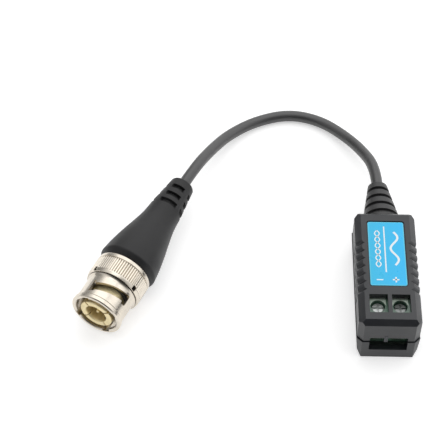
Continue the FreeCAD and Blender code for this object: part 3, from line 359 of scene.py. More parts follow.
@dataclass(frozen=True)
class PlatedMetal(Finish):
    """Plated metal with faint marks of turning round its own axis, a cloud of handling, and painted
    shade where a mesh has some stored."""

    roughness: float = 0.2
    haze: float = 0.08
    marks_per_metre: float = 9000.0
    marks_depth: float = 0.0015 * MM
    tarnish: float = 0.1
    metallic: float = 1.0
    # The colour of the painted shade.
    shade_colour: Colour = (0.02, 0.018, 0.016)

    def paint(self, shader: Shader, where: Socket) -> None:
        """Feed the surface.

        The marks vary with the distance from the axis and along it, and not round it.

        Args:
            shader: The shader that is fed.
            where: The place in the finish's own axes.
        """
        across, upward, along = shader.split(where)
        ring = shader.add("CombineXYZ", {"X": shader.reach(across, upward), "Y": along})
        marks = shader.noise(ring.outputs["Vector"], self.marks_per_metre, detail=2.0)
        cloud = shader.noise(where, 420.0, detail=5.0, roughness=0.6)
        plating = shader.ramp(cloud, (0.32, shade(self.colour, 1.0 - self.tarnish)),
                              (0.62, self.colour))
        # A mesh's stored share of painted shade darkens the plating towards the shade colour.
        shade_share = shader.add("Attribute", {}, attribute_name="painted_shade").outputs["Fac"]
        shader.feed({"Base Color": shader.mix(shade_share, plating, (*self.shade_colour, 1.0)),
                     "Roughness": shader.remap(cloud, NOISE_RANGE, (self.roughness + self.haze,
                                                                    self.roughness)),
                     "Normal": shader.bump(marks, self.marks_depth),
                     "Metallic": self.metallic})


@dataclass(frozen=True, kw_only=True)
class PrintedFilm(Finish):
    """Glossy printed film whose colour runs across its width, with a paler line at its edge."""

    right: Colour
    edge: Colour
    half: Pair
    border: float = 0.3 * MM

    def paint(self, shader: Shader, where: Socket) -> None:
        """Feed the surface.

        The edge line is where the larger of the two distances from the middle, each counted
        in from its own side, comes within the border.

        Args:
            shader: The shader that is fed.
            where: The place in the finish's own axes.
        """
        across, along, _ = shader.split(where)
        ink = shader.ramp(shader.remap(across, (-self.half[0], self.half[0])),
                          (0.0, self.colour), (1.0, self.right))
        beyond = [shader.math("SUBTRACT", shader.math("ABSOLUTE", part), half)
                  for part, half in zip((across, along), self.half)]
        line = shader.remap(shader.math("MAXIMUM", *beyond), (-self.border, -0.5 * self.border))
        ripple = shader.noise(where, 350.0)
        shader.feed({"Base Color": shader.mix(line, ink, (*self.edge, 1.0)),
                     "Roughness": shader.swing(ripple, 0.3, 0.04),
                     "Normal": shader.bump(ripple, 0.004 * MM),
                     "Specular IOR Level": 0.4})


@dataclass(frozen=True, kw_only=True)
class SinteredBody(Finish):
    """A pressed and fired body: dull, speckled and slightly rough."""

    speckle: Colour

    def paint(self, shader: Shader, where: Socket) -> None:
        """Feed the surface.

        Args:
            shader: The shader that is fed.
            where: The place in the finish's own axes.
        """
        grain = shader.noise(where, 5000.0, detail=4.0, roughness=0.7)
        shader.feed({"Base Color": shader.ramp(grain, (0.42, self.colour), (0.62, self.speckle)),
                     "Roughness": shader.swing(grain, 0.6, 0.08),
                     "Normal": shader.bump(grain, 0.012 * MM)})


@dataclass(frozen=True, kw_only=True)
class WovenBoard(Finish):
    """Lacquered laminate: a faint weave of glass cloth under dark lacquer."""

    weave: Colour
    threads_per_metre: float = 1400.0

    def paint(self, shader: Shader, where: Socket) -> None:
        """Feed the surface.

        The weave is the product of two sine waves, one along each of the cloth's directions.

        Args:
            shader: The shader that is fed.
            where: The place in the finish's own axes.
        """
        waves = [shader.math("SINE", shader.math("MULTIPLY", part,
                                                 FULL_TURN * self.threads_per_metre))
                 for part in shader.split(where)[:2]]
        cloth = shader.remap(shader.math("MULTIPLY", *waves), (-1.0, 1.0))
        shader.feed({"Base Color": shader.ramp(cloth, (0.2, self.colour), (0.9, self.weave)),
                     "Normal": shader.bump(cloth, 0.005 * MM),
                     "Roughness": 0.3, "Coat Weight": 0.4, "Coat Roughness": 0.2})


@dataclass(frozen=True, kw_only=True)
class BraidedWire(Finish):
    """Copper strands laid in two slanting directions round an axis."""

    dark: Colour
    strands: float = 22.0
    slant: float = 900.0

    def paint(self, shader: Shader, where: Socket) -> None:
        """Feed the surface.

        A strand is a crest of the sine of its angle round the axis plus its distance along it,
        and the other set has the distance taken away.

        Args:
            shader: The shader that is fed.
            where: The place in the finish's own axes.
        """
        across, upward, along = shader.split(where)
        angle = shader.math("MULTIPLY", shader.math("ARCTAN2", upward, across), self.strands)
        rise = shader.math("MULTIPLY", along, self.slant * math.pi)
        sets = [shader.math("SINE", shader.math(lay, angle, rise)) for lay in ("ADD", "SUBTRACT")]
        crest = shader.remap(shader.math("MAXIMUM", *sets), (-0.5, 1.0))
        shader.feed({"Base Color": shader.ramp(crest, (0.1, self.dark), (0.8, self.colour)),
                     "Normal": shader.bump(crest, 0.04 * MM), "Metallic": 1.0, "Roughness": 0.35})


def add_object(name: str, data: bpy.types.ID) -> Thing:
    """Put something into the scene.

    Args:
        name: The name that it is given.
        data: Its mesh, curve, lamp or camera.

    Returns:
        The object.
    """
    data.name = name
    thing = bpy.data.objects.new(name, data)
    bpy.context.scene.collection.objects.link(thing)
    return thing


def add_piece(name: str, data: bpy.types.ID, node: str, finish: Finish,
              stands: bool = True) -> Thing:
    """Put a piece into the scene.

    Args:
        name: Its name.
        data: Its mesh or curve, in its place.
        node: The CAD node whose body it moves with.
        finish: Its finish.
        stands: Whether it stands for the node.

    Returns:
        The piece.
    """
    piece = add_object(name, data)
    data.materials.clear()
    data.materials.append(finish.material())
    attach(piece, BODY_OF[node])
    if stands:
        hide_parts(node)
    log.info("%s: %s, on %s", name, finish.name, BODY_OF[node])
    return piece


def dress(node: str, finish: Finish) -> Thing:
    """Give a CAD node that keeps its own shape its finish.

    Args:
        node: The node.
        finish: Its finish.

    Returns:
        The node's object.
    """
    piece = frame["nodes"][node]
    piece.data.materials.clear()
    piece.data.materials.append(finish.material())
    log.info("%s: %s", node, finish.name)
    return piece


def round_edges(piece: Thing, width: float, sharp: float = 30.0) -> None:
    """Round the edges of a piece.

    Args:
        piece: The piece.
        width: The rounding's width in metres.
        sharp: Edges that turn by more degrees than this are rounded.
    """
    rounding = piece.modifiers.new("Rounded edges", "BEVEL")
    rounding.width = width
    rounding.segments = 2
    rounding.limit_method = "ANGLE"
    rounding.angle_limit = math.radians(sharp)
    rounding.use_clamp_overlap = True
    rounding.harden_normals = True


def raw_mesh(points: object, faces: object, painted_shade: Optional[Array] = None) -> Mesh:
    """A mesh of points and quads.

    Args:
        points: Its points, in a list or a grid of them.
        faces: The numbers of each quad's points.
        painted_shade: How dark the painted shade is at each point, for its finish to read.

    Returns:
        The mesh.
    """
    mesh = bpy.data.meshes.new("surface")
    mesh.from_pydata(np.reshape(points, (-1, 3)).tolist(), [], np.asarray(faces).tolist())
    if painted_shade is not None:
        layer = mesh.attributes.new("painted_shade", "FLOAT", "POINT")
        layer.data.foreach_set("value", np.ascontiguousarray(painted_shade, dtype=np.float32).ravel())
    return mesh


def join_points(sheet: Sheet, distance: float = 0.0005 * MM) -> None:
    """Join points that lie in the same place."""
    bmesh.ops.remove_doubles(sheet, verts=sheet.verts, dist=distance)


def join_flats(sheet: Sheet) -> None:
    """Join points that lie in the same place, and faces that lie in the same plane.

    Args:
        sheet: The mesh that is mended.
    """
    join_points(sheet, 0.001 * MM)
    bmesh.ops.dissolve_limit(sheet, angle_limit=math.radians(0.6), verts=sheet.verts,
                             edges=sheet.edges)


def face_outwards(sheet: Sheet) -> None:
    """Drop the points that no face uses, and turn all faces outwards.

    Args:
        sheet: The mesh that is mended.
    """
    loose = [vertex for vertex in sheet.verts if not vertex.link_faces]
    bmesh.ops.delete(sheet, geom=loose, context="VERTS")
    bmesh.ops.recalc_face_normals(sheet, faces=sheet.faces)


def smoothed(source: Mesh, mesh: Mesh, sharp: float, mend: Callable[[Sheet], None]) -> Mesh:
    """Fill a mesh with another one, or the same one, mended and shaded smooth.

    Args:
        source: The mesh that it is filled with.
        mesh: The mesh that is filled.
        sharp: Edges that turn by more degrees than this stay sharp.
        mend: How the mesh is mended.

    Returns:
        The filled mesh.
    """
    sheet = bmesh.new()
    sheet.from_mesh(source)
    mend(sheet)
    sheet.to_mesh(mesh)
    sheet.free()
    mesh.shade_smooth()
    mesh.set_sharp_from_angle(angle=math.radians(sharp))
    return mesh


def soften(node: str, name: str, finish: Finish, edge: float) -> None:
    """Put a piece in for a CAD node, its edges rounded as moulding or turning leaves them.

    Args:
        node: The CAD node.
        name: The piece's name.
        finish: Its finish.
        edge: The rounding's width in metres.
    """
    mesh = smoothed(frame["nodes"][node].data, bpy.data.meshes.new(name), 30.0, join_flats)
    round_edges(add_piece(name, mesh, node, finish), edge)


def grid_faces(rows: int, columns: int) -> Array:
    """Quads of a grid that closes on itself across its columns.

    Each joins a point with the next in both directions, ordered so that a surface that grows
    along its rows faces outwards.

    Args:
        rows: The grid's rows.
        columns: Its columns.

    Returns:
        The numbers of each quad's points.
    """
    row = np.arange(rows - 1)[:, None]
    column = np.arange(columns)[None, :]
    beside = (column + 1) % columns
    quads = [row * columns + column, (row + 1) * columns + column,
             (row + 1) * columns + beside, row * columns + beside]
    return np.stack(quads, axis=-1).reshape(-1, 4)


def grid_mesh(points: Array, sharp: float = 35.0, painted_shade: Optional[Array] = None) -> Mesh:
    """A mesh over a closed grid of points, with doubled points joined.

    Args:
        points: Rows by columns by three.
        sharp: Edges that turn by more degrees than this stay sharp.
        painted_shade: How dark the painted shade is at each point.

    Returns:
        The mesh.
    """
    mesh = raw_mesh(points, grid_faces(*points.shape[:2]), painted_shade)
    return smoothed(mesh, mesh, sharp, join_points)


def around(count: int) -> Array:
    """A row of angles, evenly all round."""
    return np.linspace(0.0, FULL_TURN, count, endpoint=False)[None, :]


def press(inside: Array, blur: float = 0.16) -> Array:
    """How far a sunk shape is pressed in: along 3t^2 - 2t^3 from 0 to 1 across its edge.

    Args:
        inside: How far inside the edge each point lies.
        blur: How wide the slope at the edge is.

    Returns:
        A share from 0 to 1.
    """
    share = np.clip(inside / blur + 0.5, 0.0, 1.0)
    return share * share * (3.0 - 2.0 * share)


def stamp(radius: object, angle: Array, along: Array, places: Sequence[float],
          middle: float, size: Pair) -> Array:
    """How far a ring of rectangles is pressed in at each point round an axis.

    A point lies inside by the smaller of two lengths: half the length less its arc from the
    nearest rectangle's middle, and half the width less its distance from that middle.

    Args:
        radius: Distances from the axis.
        angle: Angles round it in radians, in a row.
        along: Distances along it.
        places: The rectangles' own angles in degrees.
        middle: Their distance along the axis.
        size: Their length round the axis and their width along it.

    Returns:
        A share from 0 to 1.
    """
    away = angle - np.radians(places)[:, None]
    nearest = np.abs(np.angle(np.exp(1j * away))).min(axis=0)
    return press(np.minimum(size[0] / 2 - radius * nearest, size[1] / 2 - np.abs(along - middle)))


def rounded_outline(corners: Sequence[Point], steps: int = 5) -> Array:
    """A (radius, distance) outline with rounded corners.

    Each corner is a quadratic curve between the points that lie its rounding away from it along
    both sides, with the corner as its middle control point.

    Args:
        corners: Radius, distance along the axis and rounding of each corner.
        steps: Points on each rounding.

    Returns:
        The outline's points.
    """
    places = np.array([corner[:2] for corner in corners])
    share = np.linspace(0.0, 1.0, steps)[:, None]
    runs: List[Array] = []
    for index, here in enumerate(places):
        rounding = corners[index][2]
        if rounding == 0.0 or index in (0, len(corners) - 1):
            runs.append(here[None, :])
            continue
        start, stop = (here + side / np.linalg.norm(side) * rounding
                       for side in (places[index - 1] - here, places[index + 1] - here))
        runs.append((1 - share) ** 2 * start + 2 * (1 - share) * share * here + share ** 2 * stop)
    return np.concatenate(runs)


@dataclass(frozen=True)
class Axis:
    """A straight axis that turned shapes are laid on. It takes lengths in millimetres."""

    origin: Point
    direction: Point

    def lay(self, radius: Array, angle: Array, along: Array) -> Array:
        """Points round the axis.

        Each is the origin, plus the distance along the direction, plus the radius times the
        cosine of the angle to the side and its sine upwards.

        Args:
            radius: Distances from the axis.
            angle: Angles round it in radians.
            along: Distances along it from the origin.

        Returns:
            The points, in metres.
        """
        forward = np.array(self.direction)
        side = np.cross(forward, (0.0, 0.0, 1.0))
        up = np.cross(side, forward)
        radius, angle, along = np.broadcast_arrays(radius * MM, angle, along * MM)
        return (np.array(self.origin) + along[..., None] * forward
                + (radius * np.cos(angle))[..., None] * side
                + (radius * np.sin(angle))[..., None] * up)


def plug_axis() -> Axis:
    """The plug's axis from the mouth of its sleeve, as the joint of its coupling ring gives it.

    Returns:
        The axis.
    """
    joint = next(joint for joint in frame["joints"] if joint["name"] == "ring_turn")
    direction = np.array(joint["axis"], dtype=float)
    direction /= np.linalg.norm(direction)
    mouth = np.array(joint["pos_m"], dtype=float) - direction * RING_JOINT_PLACE
    return Axis(tuple(mouth), tuple(direction))


PLUG_AXIS = plug_axis()
PLUG_TURN = (math.radians(-90.0), 0.0,
             -math.atan2(PLUG_AXIS.direction[0], PLUG_AXIS.direction[1]))


def pierced_tube(angle: Array, along: Array, radii: Tuple[Array, Array], cut: Array,
                 painted_shade: Optional[Array] = None) -> Mesh:
    """A tube on the plug's axis with some cells left out of its wall.

    The outside and the bore are two grids of points. Their kept cells are joined by a side face
    wherever a cell is kept and its neighbour isn't, which also closes both ends.

    Args:
        angle: The columns' angles in degrees.
        along: Distances along the axis in millimetres, rows by columns.
        radii: Radii of the outside and of the bore in millimetres, each rows by columns.
        cut: The cells to leave out, one row less.
        painted_shade: How dark the painted shade is, for the outside's rows and then for the bore's.

    Returns:
        The mesh.
    """
    points = np.concatenate([PLUG_AXIS.lay(radius, np.radians(angle)[None, :], along).reshape(-1, 3)
                             for radius in radii])
    keep = ~cut.astype(bool)
    far = along.size
    index = np.arange(far).reshape(along.shape)
    beside = np.roll(index, -1, axis=1)
    skin = grid_faces(*along.shape)[keep.ravel()]
    edge = np.diff(np.pad(keep.astype(int), ((1, 1), (0, 0))), axis=0) != 0
    side = keep != np.roll(keep, 1, axis=1)
    pairs = ((index[edge], beside[edge]), (index[:-1][side], index[1:][side]))
    walls = [np.stack([first, second, second + far, first + far], axis=1)
             for first, second in pairs]
    faces = np.concatenate([skin, skin[:, ::-1] + far, *walls])
    mesh = raw_mesh(points, faces, painted_shade)
    return smoothed(mesh, mesh, 35.0, face_outwards)


@dataclass
class Studio:
    """A pale floor, soft light from above and behind, and the camera.

    A lobe of the sky is a direction with two pairs: at and above the first cosine to that
    direction its level is the first value, and at and below the second cosine the second value.
    A softbox has a place, its width and height, and its brightness, where 1 is white paper.
    """

    camera_place: Point = (-0.03365, -0.19107, 0.27176)
    camera_aim: Point = (-0.0127, 0.6165, -0.7873)
    lens: float = 112.5
    sensor: float = 36.0
    near_clip: float = 0.01
    floor_half: float = 1.5
    floor_whites: Pair = (0.79, 0.81)
    floor_glow: float = 0.5
    sky: Tuple[Tuple[Point, Pair, Pair], ...] = (
        ((0.30, 0.75, 0.60), (0.9, 1.15), (-0.9, 0.35)),
        ((0.0, -0.80, 0.60), (0.95, 0.12), (0.55, 1.0)),
        ((-0.80, 0.60, 0.10), (0.97, 0.3), (0.6, 1.0)),
    )
    softboxes: Tuple[Tuple[str, Point, Pair, float], ...] = (
        ("Back softbox", (0.05, 0.42, 0.60), (0.70, 0.50), 0.50),
        ("Top softbox", (-0.04, -0.06, 0.72), (0.50, 0.45), 0.7),
        ("Right softbox", (0.55, 0.1, 0.42), (0.35, 0.45), 0.4),
    )

    def build(self) -> None:
        """Make the floor, the world, the lamps and the camera."""
        self.floor()
        self.world()
        for softbox in self.softboxes:
            self.lamp(*softbox)
        self.camera()

    def floor(self) -> None:
        """A white sheet that shows its shadows, and looks white to the camera and in metal."""
        half = self.floor_half
        corners = [(-half, -half, 0.0), (half, -half, 0.0), (half, half, 0.0), (-half, half, 0.0)]
        mesh = raw_mesh(corners, [(0, 1, 2, 3)])
        shader = Shader(bpy.data.materials.new("White paper"))
        pulp = shader.noise(shader.place((0.0, 0.0, 0.0), (0.0, 0.0, 0.0)), 60.0)
        paper = shader.ramp(pulp, *zip(NOISE_RANGE, ((white,) * 3 for white in self.floor_whites)))
        path = shader.add("LightPath", {}).outputs
        seen = shader.math("MAXIMUM", path["Is Camera Ray"], path["Is Glossy Ray"])
        seen = shader.math("MAXIMUM", seen, path["Is Transmission Ray"])
        shader.feed({"Base Color": paper, "Roughness": 0.9, "Specular IOR Level": 0.0,
                     "Emission Color": WHITE,
                     "Emission Strength": shader.math("MULTIPLY", seen, self.floor_glow)})
        mesh.materials.append(shader.owner)
        add_object("floor", mesh)

    def world(self) -> None:
        """Light from all round as a product of the sky's lobes, and plain white to the camera."""
        world = bpy.data.worlds.new("Studio")
        bpy.context.scene.world = world
        shader = Shader(world, "Background")
        direction = shader.add("TexCoord", {}).outputs["Generated"]
        level: object = 1.0
        for toward, near, far in self.sky:
            turn = shader.add("VectorMath", {0: direction, 1: Vector(toward).normalized()},
                              operation="DOT_PRODUCT")
            lobe = shader.remap(turn.outputs["Value"], (far[0], near[0]), (far[1], near[1]),
                                interpolation_type="SMOOTHSTEP")
            level = shader.math("MULTIPLY", level, lobe)
        camera_ray = shader.add("LightPath", {}).outputs["Is Camera Ray"]
        seen = shader.add("Mix", {"Factor": camera_ray, "A": level, "B": 1.0})
        shader.feed({"Color": WHITE, "Strength": seen.outputs["Result"]})

    @staticmethod
    def stand(thing: Thing, place: Point, toward: Vector) -> None:
        """Stand a lamp or the camera in its place, looking along a direction."""
        thing.location = place
        thing.rotation_euler = toward.to_track_quat("-Z", "Y").to_euler()

    def lamp(self, name: str, place: Point, size: Pair, level: float) -> None:
        """A softbox aimed at the part. Its power is its brightness times its area times pi.

        Args:
            name: Its name.
            place: Where it stands.
            size: Its width and height.
            level: Its brightness, as the strength of a surface that glows.
        """
        lamp = bpy.data.lights.new(name, "AREA")
        lamp.shape = "RECTANGLE"
        lamp.size, lamp.size_y = size
        lamp.energy = level * size[0] * size[1] * math.pi
        self.stand(add_object(name, lamp), place, -Vector(place))

    def camera(self) -> None:
        """The camera at the photograph's place and angle."""
        data = bpy.data.cameras.new("Camera")
        data.lens = self.lens
        data.sensor_width = self.sensor
        data.clip_start = self.near_clip
        camera = add_object("Camera", data)
        self.stand(camera, self.camera_place, Vector(self.camera_aim))
        bpy.context.scene.camera = camera


@dataclass
class Housing:
    """The two moulded shells, the label and its print."""

    edge: float = 0.16 * MM
    black: Colour = (0.0135, 0.015, 0.0185)
    film_edge: float = 0.05 * MM
    print_height: float = 0.02 * MM
    print_white: Colour = (0.86, 0.92, 0.93)
    tab_x: Pair = (-1.1 * MM, -0.25 * MM)
    tab_z: Pair = (5.9 * MM, 8.0 * MM)
    tab_depth: float = 0.9 * MM
    tab_proud: float = 0.06 * MM

    def build(self) -> None:
        """Make the shells, the tab over the slot, the label and the print."""
        plastic = MouldedPlastic("Black moulded housing", self.black, roughness=0.40)
        soften("housing_top", "upper_shell", plastic, self.edge)
        soften("housing_bottom", "lower_shell", plastic, self.edge)
        self.tab()
        self.label()
        self.print()

    def tab(self) -> None:
        """The small tab, in a lighter copy of the shells' black, hanging into the wire slot."""
        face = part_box("housing_top")[0][1] - self.tab_proud
        corners = [(x, y, z) for x in self.tab_x for y in (face, face + self.tab_depth)
                   for z in self.tab_z]
        mesh = raw_mesh(corners, [(0, 1, 3, 2), (4, 6, 7, 5), (0, 4, 5, 1),
                                  (2, 3, 7, 6), (0, 2, 6, 4), (1, 5, 7, 3)])
        # The tab's plastic is the shells' black made 2.4 times lighter.
        lighter_tab_plastic = MouldedPlastic("Lighter black plastic", shade(self.black, 2.4), roughness=0.5)
        tab = add_piece("slot_tab", mesh, "housing_top", lighter_tab_plastic, stands=False)
        round_edges(tab, self.tab_proud)

    def label(self) -> None:
        """The blue film in its recess."""
        low, high = (np.array(corner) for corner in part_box("label"))
        film = PrintedFilm("Blue printed film", (0.034, 0.54, 0.86), tuple((low + high) / 2),
                           right=(0.026, 0.55, 1.0), edge=(0.12, 0.66, 0.90),
                           half=tuple((high - low)[:2] / 2))
        soften("label", "label_film", film, self.film_edge)

    def print(self) -> None:
        """White print: the poles' plus and minus, a divider and a plain picture of the signal,
        a twisted pair on the left and a single wave on the right. It is drawn in millimetres."""
        ink = MouldedPlastic("White print", self.print_white, roughness=0.35, mottling=0.02)
        along = np.linspace(0.0, 1.0, 160)
        waves = 6.0 * math.pi * along
        pair = 10.6 * along - 0.4
        twist = 0.55 * np.sin(waves)
        strokes = {
            "print_plus_bar": ([[0.92, 2.42], [-3.9, -3.9]], 0.34),
            "print_plus_stem": ([[1.67, 1.67], [-4.65, -3.15]], 0.34),
            "print_minus": ([[-2.75, -1.25], [-3.95, -3.95]], 0.30),
            "print_divider": ([[-0.45, -0.45], [-1.8, 11.4]], 0.30),
            "print_pair_a": ([-2.1 + twist, pair], 0.26),
            "print_pair_b": ([-2.1 - twist, pair], 0.26),
            "print_wave": ([1.75 + 0.85 * np.sin(0.5 * waves), 0.2 + 9.6 * along], 0.5),
        }
        for name, (path, width) in strokes.items():
            mesh = self.stroke(np.stack(path, axis=1) * MM, width * MM)
            add_piece(name, mesh, "label", ink, stands=False)

    def stroke(self, path: Array, width: float) -> Mesh:
        """A flat line of ink along a path on the film.

        The ring of four corners, half the width to each side and the print's height apart, is
        carried along the path at right angles to its slope, and closed at both ends.

        Args:
            path: Points in X and Y.
            width: The line's width.

        Returns:
            The mesh.
        """
        slope = np.gradient(path, axis=0)
        slope /= np.linalg.norm(slope, axis=1)[:, None]
        aside = np.stack([-slope[:, 1], slope[:, 0]], axis=1) * width / 2
        film = float(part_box("label")[1][2])
        low, high = (np.full((len(path), 1), film + rise)
                     for rise in (-self.print_height, self.print_height))
        ring = [np.hstack(corner) for corner in ((path + aside, low), (path + aside, high),
                                                 (path - aside, high), (path - aside, low))]
        last = (len(path) - 1) * 4
        ends = [[0, 1, 2, 3], [last + 3, last + 2, last + 1, last]]
        return raw_mesh(np.stack(ring, axis=1), np.concatenate([grid_faces(len(path), 4), ends]))


class Pole(Enum):
    """The terminal's poles, as the CAD nodes name them."""

    MINUS = "minus"
    PLUS = "plus"


@dataclass
class Terminal:
    """The two-pole screw terminal behind the windows and the slot."""

    green: Colour = (0.80, 0.94, 0.80)
    tin: Colour = (0.66, 0.65, 0.61)
    # Both screws are the same zinc plate; the plus screw's darker colour is painted shade.
    steel: Tuple[Tuple[Pole, Colour], ...] = ((Pole.MINUS, (0.66, 0.69, 0.67)),
                                              (Pole.PLUS, (0.36, 0.38, 0.37)))
    edge: float = 0.10 * MM
    screw_edge: float = 0.05 * MM
    # How far behind the block's front face the painted shade at its front begins to fade.
    shaded_front_inset: float = 0.1 * MM

    def build(self) -> None:
        """Make the block and the screws, and dress the cages and the bars."""
        # The block's material paints shade round the screws, beside the windows and at the front.
        moulded = BlockPlastic("Green moulded block", self.green, roughness=0.35, specular=1.0,
                               mottling=0.06, pole=self.middle(Pole.PLUS)[:2],
                               front=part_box("terminal_block")[0][1] + self.shaded_front_inset)
        soften("terminal_block", "green_block", moulded, self.edge)
        tinned = PlatedMetal("Tinned brass", self.tin, roughness=0.3)
        for pole, colour in self.steel:
            side = pole.value
            steel = PlatedMetal("Zinc plated screw " + side, colour, self.middle(pole),
                                roughness=0.34)
            soften("clamp_screw_" + side, "screw_" + side, steel, self.screw_edge)
            dress("clamp_cage_" + side, tinned)
            dress("terminal_contact_" + side, tinned)

    @staticmethod
    def middle(pole: Pole) -> Point:
        """The middle of a pole's screw."""
        return tuple(np.array(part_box("clamp_screw_" + pole.value)).mean(axis=0))


class Electronics:
    """What stands on the circuit board inside the housing."""

    def build(self) -> None:
        """Dress the board and its parts."""
        sintered = (
            ("ferrite_ring", "Ferrite", (0.03, 0.03, 0.035), (0.07, 0.07, 0.075)),
            ("surge_arrester", "Arrester ceramic", (0.66, 0.58, 0.50), (0.74, 0.68, 0.60)),
            ("chip_capacitors", "Capacitor ceramic", (0.42, 0.28, 0.16), (0.50, 0.36, 0.22)),
            ("chip_resistors", "Resistor body", (0.02, 0.02, 0.022), (0.05, 0.05, 0.055)),
        )
        for node, name, colour, speckle in sintered:
            dress(node, SinteredBody(name, colour, speckle=speckle))
        dress("circuit_board", WovenBoard("Dark lacquered board", (0.03, 0.038, 0.034),
                                          weave=(0.045, 0.055, 0.05)))
        dress("transformer_winding", PlatedMetal("Enamelled wire", (0.55, 0.20, 0.07),
                                                 roughness=0.28))
        dress("signal_tail", MouldedPlastic("Natural core", (0.80, 0.80, 0.76), mottling=0.03))
        dress("screen_tail", PlatedMetal("Bare copper tail", (0.72, 0.36, 0.18), roughness=0.35))


@dataclass
class Lead:
    """The strain relief at the housing and the coaxial lead. The lead's radius and length are in
    metres, and the relief's sizes and the lead's loose points in millimetres."""

    radius: float = 1.4 * MM
    length: float = 81.1 * MM
    relief_length: float = 13.0
    collar_length: float = 1.8
    collar_radius: float = 4.7
    base_radius: float = 4.6
    tip_radius: float = 2.35
    lean: float = 2.3
    groove_first: float = 2.0
    groove_pitch: float = 2.7
    groove_count: int = 4
    groove_width: float = 0.85
    groove_depth: float = 0.7
    groove_blur: float = 0.2
    straight: float = 6.3
    loose: Tuple[Point, ...] = (
        (-3.4, 42.6, 4.2), (-7.5, 49.5, 2.1), (-13.6, 55.2, 1.4), (-21.7, 57.4, 1.4),
        (-30.4, 54.8, 1.4), (-37.5, 49.0, 2.3), (-41.9, 41.3, 4.9))
    tail: Pair = (49.4, 42.9)
    black: Colour = (0.012, 0.012, 0.013)
    jacket_black: Colour = (0.036, 0.036, 0.037)

    def build(self, carried: Sequence[Thing]) -> None:
        """Make the relief and the lead.

        Args:
            carried: The pieces of the plug. Not used.
        """
        relief = self.relief()
        jacket = self.jacket()
        exit_point = self.route()[0]

    def relief_points(self, along: Array) -> Array:
        """Middle points of the relief: straight out as far as the collar, then leaning.

        Args:
            along: Distances from the housing in millimetres.

        Returns:
            The points, in metres.
        """
        lean = math.radians(self.lean)
        out = np.minimum(along, self.collar_length)
        leaning = along - out
        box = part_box("strain_relief")
        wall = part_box("housing_bottom")[1][1] / MM
        return np.stack([-leaning * math.sin(lean), wall + out + leaning * math.cos(lean),
                         np.full_like(along, (box[0][2] + box[1][2]) / 2 / MM)], axis=-1) * MM

    def relief(self) -> Thing:
        """The tapered, grooved moulding.

        Its radius falls evenly from the collar to the tip, and dips by a smooth step into each
        groove.

        Returns:
            The piece.
        """
        body = np.linspace(self.collar_length, self.relief_length - 0.5, 420)
        taper = (body - self.collar_length) / (self.relief_length - self.collar_length)
        radius = self.base_radius + (self.tip_radius - self.base_radius) * taper
        for index in range(self.groove_count):
            middle = self.groove_first + index * self.groove_pitch + self.groove_width / 2
            inside = self.groove_width / 2 - np.abs(body - middle)
            radius = radius - self.groove_depth * press(inside, self.groove_blur)
        collar = rounded_outline([(1.0, 0.1, 0.0), (self.collar_radius, 0.1, 0.2),
                                  (self.collar_radius, self.collar_length, 0.4),
                                  (radius[0], self.collar_length, 0.0)])
        tip = rounded_outline([(radius[-1], self.relief_length - 0.45, 0.0),
                               (radius[-1] - 0.1, self.relief_length, 0.4),
                               (1.0, self.relief_length, 0.0)])
        outline = np.concatenate([collar[:-1], np.stack([radius, body], axis=1), tip[1:]])
        angle = around(96)
        round_x, round_z = (outline[:, :1] * part * MM for part in (np.cos(angle), np.sin(angle)))
        points = (self.relief_points(outline[:, 1])[:, None, :]
                  + np.stack([round_x, np.zeros_like(round_x), round_z], axis=-1))
        vinyl = SoftVinyl("Black relief moulding", self.black, specular=0.8)
        return add_piece("relief_sleeve", grid_mesh(points), "strain_relief", vinyl)

    def route(self) -> List[Point]:
        """The points that the lead is led by.

        Returns:
            The points, from the relief's tip to the boot's tail.
        """
        start = self.relief_points(np.array([self.relief_length]))[0]
        lean = math.radians(self.lean)
        out = start + np.array([-math.sin(lean), math.cos(lean), 0.0]) * self.straight * MM
        tail = PLUG_AXIS.lay(np.zeros(2), np.zeros(2), np.array(self.tail))
        places = [start, out, *(np.array(self.loose) * MM), *tail]
        return [tuple(float(value) for value in place) for place in places]

    def jacket(self) -> Thing:
        """The lead's jacket along its route.

        Returns:
            The piece.
        """
        curve = bpy.data.curves.new("lead_jacket", "CURVE")
        curve.dimensions = "3D"
        curve.bevel_depth = self.radius
        curve.bevel_resolution = 8
        curve.resolution_u = 24
        curve.use_fill_caps = True
        spline = curve.splines.new("NURBS")
        points = self.route()
        spline.points.add(len(points) - 1)
        spline.points.foreach_set("co", np.array([(*point, 1.0) for point in points]).ravel())
        spline.order_u = 3
        spline.use_endpoint_u = True
        vinyl = SoftVinyl("Black lead jacket", self.jacket_black, roughness=0.40, specular=0.95)
        return add_piece("lead_jacket", curve, "cable", vinyl)


